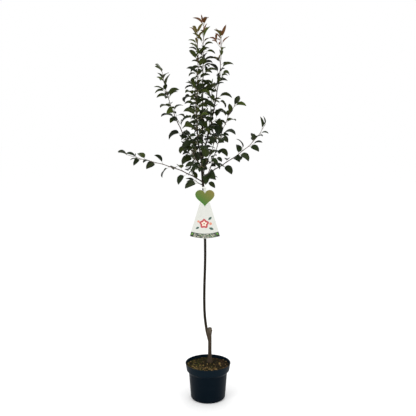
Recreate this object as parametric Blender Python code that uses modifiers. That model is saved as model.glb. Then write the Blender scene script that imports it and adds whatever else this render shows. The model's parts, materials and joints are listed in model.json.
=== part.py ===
"""Young pear tree in a nursery pot, in metres, +Z up, its origin under the middle of the pot.

The pot is filled with soil, and the grafted trunk stands on it from a flat cut. Boughs leave the
trunk one above the other, and each ends where its mass of foliage takes over: a stem with short
twigs and folded, drooping leaves, set round it by a seeded rule and fused into one solid.
"""

import math
import random
from collections import namedtuple

import bmesh
import bpy
from mathutils import Quaternion, Vector
from mathutils.bvhtree import BVHTree

GAP = 0.0003
UP = Vector((0, 0, 1))

POT_HEIGHT = 0.197
POT_WALL = 0.002
POT_SIDES = 32
RIM_RADIUS = 0.122
COLLAR_HEIGHT = 0.038
COLLAR_FOOT_RADIUS = 0.116
STEP_HEIGHT = 0.013
BODY_RADIUS = 0.104
BASE_RADIUS = 0.093
BASE_ROUNDING = 0.012
FOOT_RING = 0.012
RECESS = 0.003
PAD_RADIUS = 0.030
DRAIN_HOLES = 8
DRAIN_RADIUS = 0.005
DRAIN_SIDES = 10
LIP = 0.0008
BASE_STEPS = 3
SOIL_TOP = POT_HEIGHT - 0.015

ROOTSTOCK_X = 0.010
ROOTSTOCK_Y = 0.038
ROOTSTOCK_SIDES = 12
FOOT_RADIUS = 0.0155
STUB_RADIUS = 0.0098
KNOB_RADIUS = 0.0128
KNOB_TOP = 0.380

SCION_LINE = (
    (0.0085, 0.036, 0.300),
    (-0.0080, 0.032, 0.372),
    (-0.0185, 0.026, 0.470),
    (-0.0195, 0.020, 0.600),
    (-0.0150, 0.020, 0.800),
    (-0.0205, 0.018, 1.070),
    (-0.0310, 0.005, 1.240),
    (-0.0300, 0.005, 1.335),
)
SCION_FOOT_RADIUS = 0.0076
SCION_TIP_RADIUS = 0.0060
SCION_STEPS = 5
LIMB_BEVEL = 1
STEM_BEVEL = 0

TAG_X = -0.0165
TAG_APEX = 1.154
TAG_LENGTH = 0.275
TAG_HALF_ANGLE = math.radians(17.0)
TAG_THICKNESS = 0.0008
TAG_STRIP = 0.014
HEART_WIDTH = 0.107
HEART_TOP = 1.139
HEART_HEIGHT = 0.096
STRAP_Z = 1.150
STRAP_HEIGHT = 0.008
STRAP_WALL = 0.0009

LEAF_TURN = math.radians(137.5)
LEAF_WIDTH = 0.64
YOUNG_LEAF_WIDTH = 0.42
LEAF_FOLD = math.radians(42)
LEAF_HALF_THICKNESS = 0.0006
LEAF_SPREAD = (14, 30)
LEAF_DROOP = (10, 50)
AGE_SPREAD = 35
AGE_DROOP = 50
LEAF_ROLL = 0.8
PETIOLE_HALF_WIDTH = 0.0008
PETIOLE_LENGTH = 0.38
BLADE_STATIONS = ((0.36, 1.0), (0.74, 0.70))
OUTER_PETIOLE = 0.4
CLEARANCE = 0.001
TRIES = (0.0, 0.5, -0.5, 1.0, -1.0, 1.5)
FIRST_NODE = 0.012
LAST_NODE = 0.012
ZIGZAG = 0.0012
EASE = 0.003
TIP_LEAVES = 4
TIP_LEAF_STEP = 0.003
TWIG_LENGTH = (0.022, 0.048)
TWIG_SPREAD = (38, 55)
TWIG_RISE = 0.35
TWIG_RADIUS = 0.0016
TWIG_LEAVES = 3

Shoot = namedtuple("Shoot", "name foot handle_a handle_b tip bare radius spacing leaf twigs turn seed")
SHOOTS = (
    Shoot("left_leader", 1.300, (-0.088, -0.022, 1.490), (-0.034, -0.038, 1.700), (-0.056, -0.035, 1.930),
          0.075, 0.0042, 0.027, 0.066, 0.30, 0.8, 238),
    Shoot("centre_leader", None, (-0.028, 0.005, 1.530), (-0.026, 0.018, 1.750), (-0.023, 0.012, 1.980),
          0.060, 0.0046, 0.027, 0.066, 0.30, 5.0, 527),
    Shoot("right_leader", 1.285, (0.004, 0.020, 1.440), (0.075, 0.045, 1.684), (0.068, 0.038, 1.920),
          0.080, 0.0042, 0.028, 0.066, 0.28, 4.5, 105),
    Shoot("upper_left", 1.243, (-0.172, 0.020, 1.500), (-0.205, 0.030, 1.577), (-0.238, 0.030, 1.752),
          0.050, 0.0034, 0.030, 0.058, 0.20, 2.2, 776),
    Shoot("lower_left", 1.178, (-0.172, -0.020, 1.275), (-0.281, -0.030, 1.279), (-0.420, -0.030, 1.324),
          0.050, 0.0031, 0.035, 0.052, 0.12, 4.9, 8),
    Shoot("lower_right", 1.205, (0.190, 0.000, 1.337), (0.236, -0.010, 1.374), (0.294, -0.010, 1.476),
          0.065, 0.0032, 0.033, 0.052, 0.14, 4.7, 350),
    Shoot("thin_right", 1.163, (0.023, -0.030, 1.245), (0.069, -0.050, 1.493), (0.137, -0.050, 1.575),
          0.060, 0.0027, 0.035, 0.058, 0.12, 0.0, 295),
    Shoot("low_front", 1.190, (-0.020, -0.140, 1.300), (0.020, -0.200, 1.330), (0.035, -0.300, 1.420),
          0.050, 0.0032, 0.030, 0.060, 0.20, 2.2, 285),
    Shoot("high_front", 1.262, (-0.050, -0.110, 1.380), (-0.060, -0.150, 1.480), (-0.060, -0.190, 1.650),
          0.050, 0.0032, 0.028, 0.062, 0.26, 4.9, 701),
    Shoot("low_back", 1.222, (-0.060, 0.150, 1.300), (-0.080, 0.240, 1.330), (-0.100, 0.330, 1.410),
          0.050, 0.0032, 0.030, 0.060, 0.20, 2.5, 194),
    Shoot("high_back", 1.273, (-0.010, 0.090, 1.380), (0.020, 0.150, 1.500), (0.020, 0.180, 1.670),
          0.050, 0.0032, 0.028, 0.062, 0.26, 5.2, 134),
    Shoot("spur_left", 1.162, (-0.040, 0.014, 1.168), (-0.055, 0.010, 1.174), (-0.066, 0.008, 1.186),
          0.000, 0.0026, 0.011, 0.066, 0.00, 0.5, 956),
    Shoot("spur_right", 1.176, (-0.012, 0.026, 1.184), (-0.004, 0.036, 1.190), (0.004, 0.042, 1.198),
          0.000, 0.0024, 0.012, 0.060, 0.00, 1.4, 371),
    Shoot("spur_inner", 1.232, (-0.050, 0.030, 1.250), (-0.062, 0.040, 1.270), (-0.070, 0.046, 1.296),
          0.000, 0.0026, 0.012, 0.064, 0.00, 2.9, 882),
)
STEM_TIP_RADIUS = 0.0011

BARK = ((0.030, 0.024, 0.018), 0.85)
LEAF_GREEN = ((0.020, 0.050, 0.012), 0.5)
POT_BLACK = ((0.006, 0.009, 0.014), 0.45)
SOIL_BROWN = ((0.035, 0.026, 0.014), 0.95)
TAG_WHITE = ((0.70, 0.73, 0.67), 0.4)


class Line:
    """A run of points, with the length from its start to each."""

    def __init__(self, points):
        self.points = [Vector(point) for point in points]
        self.marks = [0.0]
        for before, after in zip(self.points, self.points[1:]):
            self.marks.append(self.marks[-1] + (after - before).length)
        self.length = self.marks[-1]

    def at(self, distance):
        """The point at a distance from the start, and the direction there."""
        last = len(self.marks) - 2
        index = next((i for i, mark in enumerate(self.marks[1:]) if distance <= mark), last)
        step = self.points[index + 1] - self.points[index]
        share = (distance - self.marks[index]) / step.length
        return self.points[index] + step * share, step.normalized()


def bezier(foot, handle_a, handle_b, tip, steps=64):
    """A cubic curve from its two ends and two handles."""
    points = []
    for i in range(steps + 1):
        t = i / steps
        rest = 1 - t
        points.append(
            Vector(foot) * rest**3
            + Vector(handle_a) * 3 * rest**2 * t
            + Vector(handle_b) * 3 * rest * t**2
            + Vector(tip) * t**3
        )
    return Line(points)


def smooth_through(places, steps):
    """A line that runs smoothly through a few places."""
    stops = [Vector(place) for place in places]
    stops = [2 * stops[0] - stops[1], *stops, 2 * stops[-1] - stops[-2]]
    points = []
    for a, b, c, d in zip(stops, stops[1:], stops[2:], stops[3:]):
        for i in range(steps):
            t = i / steps
            points.append(
                0.5 * (2 * b + (c - a) * t + (2 * a - 5 * b + 4 * c - d) * t**2
                       + (3 * b - a - 3 * c + d) * t**3)
            )
    points.append(stops[-2])
    return Line(points)


SCION = smooth_through(SCION_LINE, SCION_STEPS)


def scion_radius(distance):
    return SCION_FOOT_RADIUS + (SCION_TIP_RADIUS - SCION_FOOT_RADIUS) * distance / SCION.length


def scion_at(height):
    """The trunk's axis at a height, and its radius there."""
    for before, after, mark in zip(SCION.points, SCION.points[1:], SCION.marks):
        if after.z >= height:
            share = (height - before.z) / (after.z - before.z)
            return before.lerp(after, share), scion_radius(mark)
    return SCION.points[-1], SCION_TIP_RADIUS


def shoot_line(shoot):
    """A shoot's axis, from the trunk's own axis or, for the centre leader, from the trunk's tip."""
    foot = SCION.points[-1] if shoot.foot is None else scion_at(shoot.foot)[0]
    return bezier(foot, shoot.handle_a, shoot.handle_b, shoot.tip)


def shoot_radius(shoot, line, distance):
    return shoot.radius + (STEM_TIP_RADIUS - shoot.radius) * distance / line.length


def frame_at(line, tangent, turn):
    """The direction that stands out from a shoot at a turn round it."""
    reach = line.points[-1] - line.points[0]
    across = reach.cross(UP)
    across = (across - tangent * across.dot(tangent)).normalized()
    return across * math.cos(turn) + tangent.cross(across) * math.sin(turn)


Leaf = namedtuple("Leaf", "root heading side length width petiole droop")


def aim_leaf(root, tangent, outward, size, age, dice):
    """A leaf between a stem's tangent and outward: an old one spreads, droops and is broad."""
    spread = math.radians(dice.uniform(*LEAF_SPREAD) + AGE_SPREAD * age)
    length = size * dice.uniform(0.82, 1.15)
    droop = math.radians(dice.uniform(*LEAF_DROOP) + AGE_DROOP * age)
    roll = dice.uniform(-LEAF_ROLL, LEAF_ROLL)
    width = length * (YOUNG_LEAF_WIDTH + (LEAF_WIDTH - YOUNG_LEAF_WIDTH) * age)
    heading = (tangent * math.cos(spread) + outward * math.sin(spread)).normalized()
    side = heading.cross(UP)
    if side.length < 0.25:
        side = outward.cross(UP) + 0.01 * tangent
    side = (side - heading * side.dot(heading)).normalized()
    droop = min(droop, 0.9 * heading.angle(-UP))
    side = Quaternion(heading, roll) @ side
    petiole = length * PETIOLE_LENGTH * (0.5 + 0.5 * age)
    return Leaf(Vector(root), heading, side, length, width, petiole, droop)


def leaf_sections(leaf, start=0.0, more=0.0):
    """Centre, side, normal, half width and half thickness along a leaf, from its petiole to its tip."""
    sections = []
    normal = leaf.side.cross(leaf.heading)
    for share in (start, 1.0):
        centre = leaf.root + leaf.heading * leaf.petiole * share
        sections.append((centre, normal, PETIOLE_HALF_WIDTH + more, PETIOLE_HALF_WIDTH + more))
    centre = sections[-1][0]
    before = 0.0
    for along, width in (*BLADE_STATIONS, (1.0, 0.0)):
        bend = Quaternion(leaf.side, -leaf.droop * (before + along) / 2)
        centre = centre + (bend @ leaf.heading) * leaf.length * (along - before)
        normal = leaf.side.cross(Quaternion(leaf.side, -leaf.droop * along) @ leaf.heading)
        half = leaf.width / 2 * width
        sections.append((centre, normal, half + more, LEAF_HALF_THICKNESS + more))
        before = along
    return sections


def leaf_shell(leaf, start=0.0, more=0.0):
    """The corners and faces of a leaf: left edge, crown, right edge and keel at each section, and the tip."""
    corners = []
    sections = leaf_sections(leaf, start, more)
    for index, (centre, normal, half, thick) in enumerate(sections[:-1]):
        fold = LEAF_FOLD if index > 1 else 0.0
        aside = leaf.side * half * math.cos(fold)
        raised = centre + normal * half * math.sin(fold)
        lift = normal * thick
        corners += [raised - aside, centre + lift, raised + aside, centre - lift]
    corners.append(sections[-1][0])
    faces = [(0, 1, 2, 3)]
    for ring in range(len(sections) - 2):
        for k in range(4):
            a = 4 * ring + k
            b = 4 * ring + (k + 1) % 4
            faces.append((a, a + 4, b + 4, b))
    tip = len(corners) - 1
    for k in range(4):
        faces.append((tip - 4 + k, tip, tip - 4 + (k + 1) % 4))
    return corners, faces


def tree_of(corners, faces):
    return BVHTree.FromPolygons(corners, faces)


class Crown:
    """What has grown so far, and whether a new leaf or twig is clear of it."""

    def __init__(self):
        self.limbs = []
        self.leaves = []

    def add_limb(self, mass, mesh):
        corners = [vertex.co.copy() for vertex in mesh.vertices]
        faces = [tuple(polygon.vertices) for polygon in mesh.polygons]
        self.limbs.append((mass, tree_of(corners, faces)))

    def add_leaf(self, mass, leaf):
        corners, faces = leaf_shell(leaf)
        middle = sum(corners, Vector()) / len(corners)
        reach = max((corner - middle).length for corner in corners)
        outer = tree_of(*leaf_shell(leaf, start=OUTER_PETIOLE))
        self.leaves.append((mass, middle, reach, tree_of(corners, faces), outer))

    def is_clear(self, mass, leaf):
        corners, faces = leaf_shell(leaf, more=CLEARANCE)
        middle = sum(corners, Vector()) / len(corners)
        reach = max((corner - middle).length for corner in corners)
        whole = tree_of(corners, faces)
        outer = tree_of(*leaf_shell(leaf, start=OUTER_PETIOLE, more=CLEARANCE))
        for owner, limb in self.limbs:
            if (outer if owner == mass else whole).overlap(limb):
                return False
        for owner, other_middle, other_reach, other_whole, other_outer in self.leaves:
            if (other_middle - middle).length > reach + other_reach:
                continue
            if owner == mass and outer.overlap(other_outer):
                return False
            if owner != mass and whole.overlap(other_whole):
                return False
        return True

    def place(self, mass, root, tangent, line, turn, size, age, dice):
        """Sets a leaf at a turn round its stem, or near it where that isn't clear, or skips it."""
        state = dice.getstate()
        for shift in TRIES:
            dice.setstate(state)
            outward = frame_at(line, tangent, turn + shift)
            leaf = aim_leaf(root, tangent, outward, size, age, dice)
            if self.is_clear(mass, leaf):
                self.add_leaf(mass, leaf)
                return leaf
        return None


Stem = namedtuple("Stem", "shoot line points radii nodes dice")


def plan_stem(shoot):
    """The axis of a shoot's leafy part, bent a little at each node, and the turn of each node."""
    line = shoot_line(shoot)
    dice = random.Random(shoot.seed)
    start = shoot.bare + GAP if shoot.bare else 0.0
    points = [line.at(start)[0], line.at(start + EASE)[0]]
    marks = [start, start + EASE]
    nodes = []
    spot = start + (FIRST_NODE if shoot.bare else 2 * FIRST_NODE)
    turn = shoot.turn
    while spot < line.length - LAST_NODE:
        point, tangent = line.at(spot)
        point = point + frame_at(line, tangent, turn) * ZIGZAG
        nodes.append((len(points), tangent, turn, spot / line.length))
        points.append(point)
        marks.append(spot)
        spot += shoot.spacing * dice.uniform(0.8, 1.2) * (1 - 0.4 * (spot / line.length) ** 4)
        turn += LEAF_TURN + dice.uniform(-0.4, 0.4)
    points.append(line.at(line.length)[0])
    marks.append(line.length)
    radii = [shoot_radius(shoot, line, mark) for mark in marks]
    return Stem(shoot, line, points, radii, nodes, dice)


def plan_twig(stem, index, tangent, turn, dice):
    """A short twig from a node of a stem, rising to its end: its points and their radii."""
    outward = frame_at(stem.line, tangent, turn)
    length = dice.uniform(*TWIG_LENGTH)
    spread = math.radians(dice.uniform(*TWIG_SPREAD))
    heading = tangent * math.cos(spread) + outward * math.sin(spread)
    rise = (heading + TWIG_RISE * UP).normalized()
    root = stem.points[index]
    elbow = root + heading * length / 2
    end = elbow + rise * length / 2
    radius = min(TWIG_RADIUS, stem.radii[index])
    return [root, elbow, end], [radius, 0.9 * radius, 0.7 * radius]


def grow(stems, crown):
    """The twigs and leaves of every mass, placed where they are clear of all that has grown."""
    grown = []
    for stem in stems:
        shoot = stem.shoot
        dice = stem.dice
        twigs = []
        leaves = []
        for index, tangent, turn, share in stem.nodes:
            age = 1.0 - share**3
            size = shoot.leaf * (0.75 + 0.25 * age)
            if dice.random() < shoot.twigs * (1.3 - share):
                points, radii = plan_twig(stem, index, tangent, turn, dice)
                twigs.append((points, radii))
                aim = (points[2] - points[1]).normalized()
                start = dice.uniform(0, math.tau)
                for k in range(TWIG_LEAVES):
                    root = points[2].lerp(points[1], 0.1 + 0.16 * k)
                    side = start + k * LEAF_TURN
                    leaves.append(crown.place(shoot.name, root, aim, stem.line, side, 0.9 * size, age, dice))
            else:
                root = stem.points[index]
                leaves.append(crown.place(shoot.name, root, tangent, stem.line, turn, size, age, dice))
        tip, tangent = stem.line.at(stem.line.length)
        for k in range(TIP_LEAVES):
            root = tip - tangent * (0.002 + TIP_LEAF_STEP * k)
            side = shoot.turn + LEAF_TURN * k
            size = shoot.leaf * (0.75 + 0.1 * k)
            leaves.append(crown.place(shoot.name, root, tangent, stem.line, side, size, 0.15 * k, dice))
        leaves = [leaf for leaf in leaves if leaf]
        grown.append((stem, twigs, leaves))
    return grown


def add_material(thing, finish):
    colour, roughness = finish
    material = bpy.data.materials.new(thing.name)
    material.use_nodes = True
    shader = material.node_tree.nodes["Principled BSDF"]
    shader.inputs["Base Color"].default_value = (*colour, 1.0)
    shader.inputs["Roughness"].default_value = roughness
    thing.data.materials.append(material)


def add_object(name, mesh, collection):
    thing = bpy.data.objects.new(name, mesh)
    collection.objects.link(thing)
    return thing


def shell_mesh(name, corners, faces):
    mesh = bpy.data.meshes.new(name)
    mesh.from_pydata([tuple(corner) for corner in corners], [], faces)
    shape = bmesh.new()
    shape.from_mesh(mesh)
    bmesh.ops.recalc_face_normals(shape, faces=shape.faces)
    shape.to_mesh(mesh)
    shape.free()
    return mesh


def limb_mesh(name, points, radii, bevel=LIMB_BEVEL):
    """A tapering limb: a curve with a round bevel and a radius at each point, as a closed mesh."""
    curve = bpy.data.curves.new(name, "CURVE")
    curve.dimensions = "3D"
    curve.bevel_depth = 1.0
    curve.bevel_resolution = bevel
    curve.use_fill_caps = True
    spline = curve.splines.new("POLY")
    spline.points.add(len(points) - 1)
    for control, point, radius in zip(spline.points, points, radii):
        control.co = (*point, 1.0)
        control.radius = radius
    thing = bpy.data.objects.new(name, curve)
    bpy.context.scene.collection.objects.link(thing)
    mesh = evaluated_mesh(thing)
    bpy.data.objects.remove(thing)
    shape = bmesh.new()
    shape.from_mesh(mesh)
    bmesh.ops.remove_doubles(shape, verts=shape.verts, dist=0.00001)
    bmesh.ops.recalc_face_normals(shape, faces=shape.faces)
    shape.to_mesh(mesh)
    shape.free()
    return mesh


def evaluated_mesh(thing):
    bpy.context.view_layer.update()
    depsgraph = bpy.context.evaluated_depsgraph_get()
    return bpy.data.meshes.new_from_object(thing.evaluated_get(depsgraph))


def fuse(thing, operation, meshes):
    """Joins meshes to an object, or cuts them from it, by one Boolean on a collection."""
    others = bpy.data.collections.new("Fused")
    bpy.context.scene.collection.children.link(others)
    for index, mesh in enumerate(meshes):
        add_object(f"Fused_{index}", mesh, others)
    boolean = thing.modifiers.new("Fuse", "BOOLEAN")
    boolean.operation = operation
    boolean.operand_type = "COLLECTION"
    boolean.collection = others
    boolean.solver = "EXACT"
    mesh = evaluated_mesh(thing)
    thing.modifiers.clear()
    thing.data = mesh
    for other in list(others.objects):
        bpy.data.objects.remove(other)
    bpy.data.collections.remove(others)


def turned_mesh(name, profile, sides):
    """A profile of (radius, height) points turned round +Z."""
    mesh = bpy.data.meshes.new(name)
    edges = [(i, i + 1) for i in range(len(profile) - 1)]
    mesh.from_pydata([(radius, 0.0, height) for radius, height in profile], edges, [])
    thing = bpy.data.objects.new(name, mesh)
    bpy.context.scene.collection.objects.link(thing)
    screw = thing.modifiers.new("Turn", "SCREW")
    screw.angle = math.tau
    screw.steps = sides
    screw.render_steps = sides
    screw.use_merge_vertices = True
    screw.merge_threshold = 0.00001
    turned = evaluated_mesh(thing)
    bpy.data.objects.remove(thing)
    return turned


def inside_profile(gap):
    """The inside of the pot from the middle of its floor up to the rim, drawn in by a gap."""
    floor = RECESS + POT_WALL + gap
    wall = POT_WALL + gap
    step_top = POT_HEIGHT - COLLAR_HEIGHT
    step_foot = step_top - STEP_HEIGHT
    return [
        (0.0, floor),
        (BASE_RADIUS - BASE_ROUNDING - gap, floor),
        (BASE_RADIUS - wall, floor + BASE_ROUNDING - POT_WALL),
        (BODY_RADIUS - wall, step_foot),
        (COLLAR_FOOT_RADIUS - wall, step_top),
    ]


def add_pot(collection):
    """A moulded pot with a wide collar, a foot ring, a flat pad in the middle and drain holes between."""
    rounding = []
    centre = BASE_RADIUS - BASE_ROUNDING
    for i in range(BASE_STEPS + 1):
        angle = math.pi / 2 * i / BASE_STEPS
        rounding.append(
            (centre + BASE_ROUNDING * math.cos(angle), BASE_ROUNDING * (1 - math.sin(angle)))
        )
    ring = centre - FOOT_RING
    profile = [
        *inside_profile(0.0),
        (RIM_RADIUS - POT_WALL, POT_HEIGHT - LIP),
        (RIM_RADIUS - POT_WALL + LIP, POT_HEIGHT),
        (RIM_RADIUS - LIP, POT_HEIGHT),
        (RIM_RADIUS, POT_HEIGHT - LIP),
        (COLLAR_FOOT_RADIUS, POT_HEIGHT - COLLAR_HEIGHT),
        (BODY_RADIUS, POT_HEIGHT - COLLAR_HEIGHT - STEP_HEIGHT),
        *rounding,
        (ring, 0.0),
        (ring - RECESS, RECESS),
        (PAD_RADIUS + RECESS, RECESS),
        (PAD_RADIUS, 0.0),
        (0.0, 0.0),
    ]
    pot = add_object("pot", turned_mesh("pot", profile, POT_SIDES), collection)
    holes = []
    middle = (PAD_RADIUS + ring) / 2
    for i in range(DRAIN_HOLES):
        shape = bmesh.new()
        bmesh.ops.create_cone(
            shape, cap_ends=True, segments=DRAIN_SIDES, radius1=DRAIN_RADIUS, radius2=DRAIN_RADIUS,
            depth=4 * RECESS,
        )
        angle = math.tau * i / DRAIN_HOLES
        bmesh.ops.translate(
            shape, verts=shape.verts, vec=(middle * math.cos(angle), middle * math.sin(angle), 0.0)
        )
        hole = bpy.data.meshes.new("hole")
        shape.to_mesh(hole)
        shape.free()
        holes.append(hole)
    fuse(pot, "DIFFERENCE", holes)
    add_material(pot, POT_BLACK)


def add_soil(collection):
    """The soil that fills the pot to a little under its rim."""
    inside = inside_profile(GAP)
    radius, height = inside[-1]
    slope = (RIM_RADIUS - COLLAR_FOOT_RADIUS) / COLLAR_HEIGHT
    top = (radius + slope * (SOIL_TOP - height), SOIL_TOP)
    profile = [(0.0, SOIL_TOP), top, *reversed(inside)]
    soil = add_object("soil", turned_mesh("soil", profile, POT_SIDES), collection)
    add_material(soil, SOIL_BROWN)


def scion_mesh(name, more=0.0):
    radii = [scion_radius(mark) + more for mark in SCION.marks]
    return limb_mesh(name, SCION.points, radii)


def add_trunk(collection):
    """The rootstock, flared at its flat cut and knobbed at its pruned top, and the grafted trunk."""
    profile = [
        (0.0, KNOB_TOP),
        (0.6 * KNOB_RADIUS, KNOB_TOP - 0.001),
        (KNOB_RADIUS, KNOB_TOP - 0.009),
        (KNOB_RADIUS, KNOB_TOP - 0.022),
        (STUB_RADIUS, KNOB_TOP - 0.040),
        (STUB_RADIUS, KNOB_TOP - 0.130),
        (1.1 * STUB_RADIUS, SOIL_TOP + 0.035),
        (0.85 * FOOT_RADIUS, SOIL_TOP + 0.012),
        (FOOT_RADIUS, SOIL_TOP + GAP),
        (0.0, SOIL_TOP + GAP),
    ]
    trunk = add_object("trunk", turned_mesh("trunk", profile, ROOTSTOCK_SIDES), collection)
    for vertex in trunk.data.vertices:
        vertex.co += Vector((ROOTSTOCK_X, ROOTSTOCK_Y, 0.0))
    fuse(trunk, "UNION", [scion_mesh("scion")])
    add_material(trunk, BARK)


def plate_mesh(name, outline, place, thickness):
    """A flat outline of (x, z) points as a plate that stands at place, facing -Y."""
    curve = bpy.data.curves.new(name, "CURVE")
    curve.dimensions = "2D"
    curve.fill_mode = "BOTH"
    curve.extrude = thickness / 2
    spline = curve.splines.new("POLY")
    spline.points.add(len(outline) - 1)
    for control, (x, z) in zip(spline.points, outline):
        control.co = (x, z, 0.0, 1.0)
    spline.use_cyclic_u = True
    thing = bpy.data.objects.new(name, curve)
    bpy.context.scene.collection.objects.link(thing)
    mesh = evaluated_mesh(thing)
    bpy.data.objects.remove(thing)
    shape = bmesh.new()
    shape.from_mesh(mesh)
    bmesh.ops.remove_doubles(shape, verts=shape.verts, dist=0.00001)
    for vertex in shape.verts:
        x, z, depth = vertex.co
        vertex.co = Vector(place) + Vector((x, -depth, z))
    bmesh.ops.recalc_face_normals(shape, faces=shape.faces)
    shape.to_mesh(mesh)
    shape.free()
    return mesh


def add_tag(collection):
    """A fan-shaped label with a heart at its top, hung by a strap round the trunk."""
    axis, radius = scion_at(STRAP_Z)
    inner = radius + 2 * GAP
    plane = axis.y - inner - STRAP_WALL / 2
    fan = [(-TAG_STRIP / 2, -0.006), (-TAG_STRIP / 2, -TAG_STRIP / 2 / math.tan(TAG_HALF_ANGLE))]
    for i in range(13):
        angle = TAG_HALF_ANGLE * (i / 6 - 1)
        fan.append((TAG_LENGTH * math.sin(angle), -TAG_LENGTH * math.cos(angle)))
    fan += [(-x, z) for x, z in reversed(fan[:2])]
    tag = add_object("tag", plate_mesh("tag", fan, (TAG_X, plane, TAG_APEX), TAG_THICKNESS), collection)
    heart = []
    for i in range(28):
        t = math.tau * (i + 0.5) / 28
        x = math.sin(t) ** 3 * HEART_WIDTH / 2
        z = (13 * math.cos(t) - 5 * math.cos(2 * t) - 2 * math.cos(3 * t) - math.cos(4 * t)) / 29
        heart.append((x, (z - 0.41) * HEART_HEIGHT))
    front = plate_mesh("heart", heart, (TAG_X, plane - TAG_THICKNESS * 0.8, HEART_TOP), TAG_THICKNESS)
    strap_profile = [
        (inner, STRAP_Z - STRAP_HEIGHT / 2),
        (inner, STRAP_Z + STRAP_HEIGHT / 2),
        (inner + STRAP_WALL, STRAP_Z + STRAP_HEIGHT / 2),
        (inner + STRAP_WALL, STRAP_Z - STRAP_HEIGHT / 2),
        (inner, STRAP_Z - STRAP_HEIGHT / 2),
    ]
    strap = turned_mesh("strap", strap_profile, 20)
    for vertex in strap.vertices:
        vertex.co += Vector((axis.x, axis.y, 0.0))
    strap = shell_mesh(
        "strap", [vertex.co.copy() for vertex in strap.vertices],
        [tuple(polygon.vertices) for polygon in strap.polygons],
    )
    fuse(tag, "UNION", [front, strap])
    add_material(tag, TAG_WHITE)


def add_bough(shoot, collection):
    """The bare foot of a shoot, cut to the trunk that it grows from."""
    line = shoot_line(shoot)
    steps = max(3, round(shoot.bare / 0.012))
    marks = [shoot.bare * i / steps for i in range(steps)] + [shoot.bare - EASE, shoot.bare]
    if shoot.foot is None:
        marks = [GAP, EASE, *marks[1:]]
    marks = sorted(marks)
    points = [line.at(mark)[0] for mark in marks]
    radii = [shoot_radius(shoot, line, mark) for mark in marks]
    mesh = limb_mesh(shoot.name, points, radii)
    bough = add_object(f"bough_{shoot.name}", mesh, collection)
    if shoot.foot is not None:
        fuse(bough, "DIFFERENCE", [scion_mesh("cut", GAP)])
    add_material(bough, BARK)
    return bough


def add_foliage(stem, twigs, leaves, collection):
    """A mass: its stem with the twigs and leaves fused on, cut to the trunk where it grows from it."""
    shoot = stem.shoot
    name = f"foliage_{shoot.name}"
    foliage = add_object(name, limb_mesh(name, stem.points, stem.radii, STEM_BEVEL), collection)
    parts = [limb_mesh("twig", points, radii, STEM_BEVEL) for points, radii in twigs]
    parts += [shell_mesh("leaf", *leaf_shell(leaf)) for leaf in leaves]
    fuse(foliage, "UNION", parts)
    if not shoot.bare:
        fuse(foliage, "DIFFERENCE", [scion_mesh("cut", GAP)])
    add_material(foliage, LEAF_GREEN)
    return foliage


def plan_crown(boughs, trunk, tag):
    """Every stem, and what has grown on it."""
    crown = Crown()
    crown.add_limb("trunk", trunk.data)
    crown.add_limb("tag", tag.data)
    stems = [plan_stem(shoot) for shoot in SHOOTS]
    for bough in boughs:
        crown.add_limb("boughs", bough.data)
    for stem in stems:
        crown.add_limb(stem.shoot.name, limb_mesh("stem", stem.points, stem.radii, STEM_BEVEL))
    return grow(stems, crown)


def main():
    for thing in list(bpy.data.objects):
        bpy.data.objects.remove(thing)
    collection = bpy.data.collections.new("Potted pear tree")
    bpy.context.scene.collection.children.link(collection)
    add_pot(collection)
    add_soil(collection)
    add_trunk(collection)
    add_tag(collection)
    boughs = [add_bough(shoot, collection) for shoot in SHOOTS if shoot.bare]
    trunk = collection.objects["trunk"]
    tag = collection.objects["tag"]
    for stem, twigs, leaves in plan_crown(boughs, trunk, tag):
        print(stem.shoot.name, len(twigs), "twigs", len(leaves), "leaves")
        add_foliage(stem, twigs, leaves, collection)


if __name__ == "__main__":
    main()
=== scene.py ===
import json
import math
import random
from collections import namedtuple

import bmesh
import bpy
import numpy as np
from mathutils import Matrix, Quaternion, Vector, noise
from mathutils.bvhtree import BVHTree

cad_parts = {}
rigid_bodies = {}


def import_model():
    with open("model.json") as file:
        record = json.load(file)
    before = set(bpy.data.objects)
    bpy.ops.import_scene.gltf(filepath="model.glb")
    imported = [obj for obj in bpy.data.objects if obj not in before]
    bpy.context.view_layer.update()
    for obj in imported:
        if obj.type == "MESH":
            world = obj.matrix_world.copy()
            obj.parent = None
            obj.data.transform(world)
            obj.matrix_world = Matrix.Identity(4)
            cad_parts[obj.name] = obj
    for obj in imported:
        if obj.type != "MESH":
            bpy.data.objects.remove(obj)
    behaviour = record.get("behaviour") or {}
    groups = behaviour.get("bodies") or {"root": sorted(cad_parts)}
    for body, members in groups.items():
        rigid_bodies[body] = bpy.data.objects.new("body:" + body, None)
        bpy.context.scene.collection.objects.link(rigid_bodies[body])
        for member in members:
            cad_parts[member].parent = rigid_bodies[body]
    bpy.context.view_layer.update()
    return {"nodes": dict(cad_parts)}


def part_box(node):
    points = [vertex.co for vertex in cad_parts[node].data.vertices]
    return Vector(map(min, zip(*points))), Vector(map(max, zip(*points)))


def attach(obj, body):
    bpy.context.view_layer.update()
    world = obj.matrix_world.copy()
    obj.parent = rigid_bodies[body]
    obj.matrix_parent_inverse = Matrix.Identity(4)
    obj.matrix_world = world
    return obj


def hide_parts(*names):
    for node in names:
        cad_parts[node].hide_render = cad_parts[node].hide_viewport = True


# A young grafted pear tree in a nursery pot: bark, shoots, leaves, soil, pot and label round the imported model

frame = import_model()
nodes = frame["nodes"]
up = Vector((0, 0, 1))
print("frame loaded:", len(nodes), "nodes")


# Helpers for nodes, meshes and pieces

def toLinear(hexCode):  # an sRGB hex colour as the linear colour that a shader takes
    channels = [int(hexCode[i:i + 2], 16) / 255 for i in (1, 3, 5)]
    return (*[c / 12.92 if c <= 0.04045 else ((c + 0.055) / 1.055) ** 2.4 for c in channels], 1.0)


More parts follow.
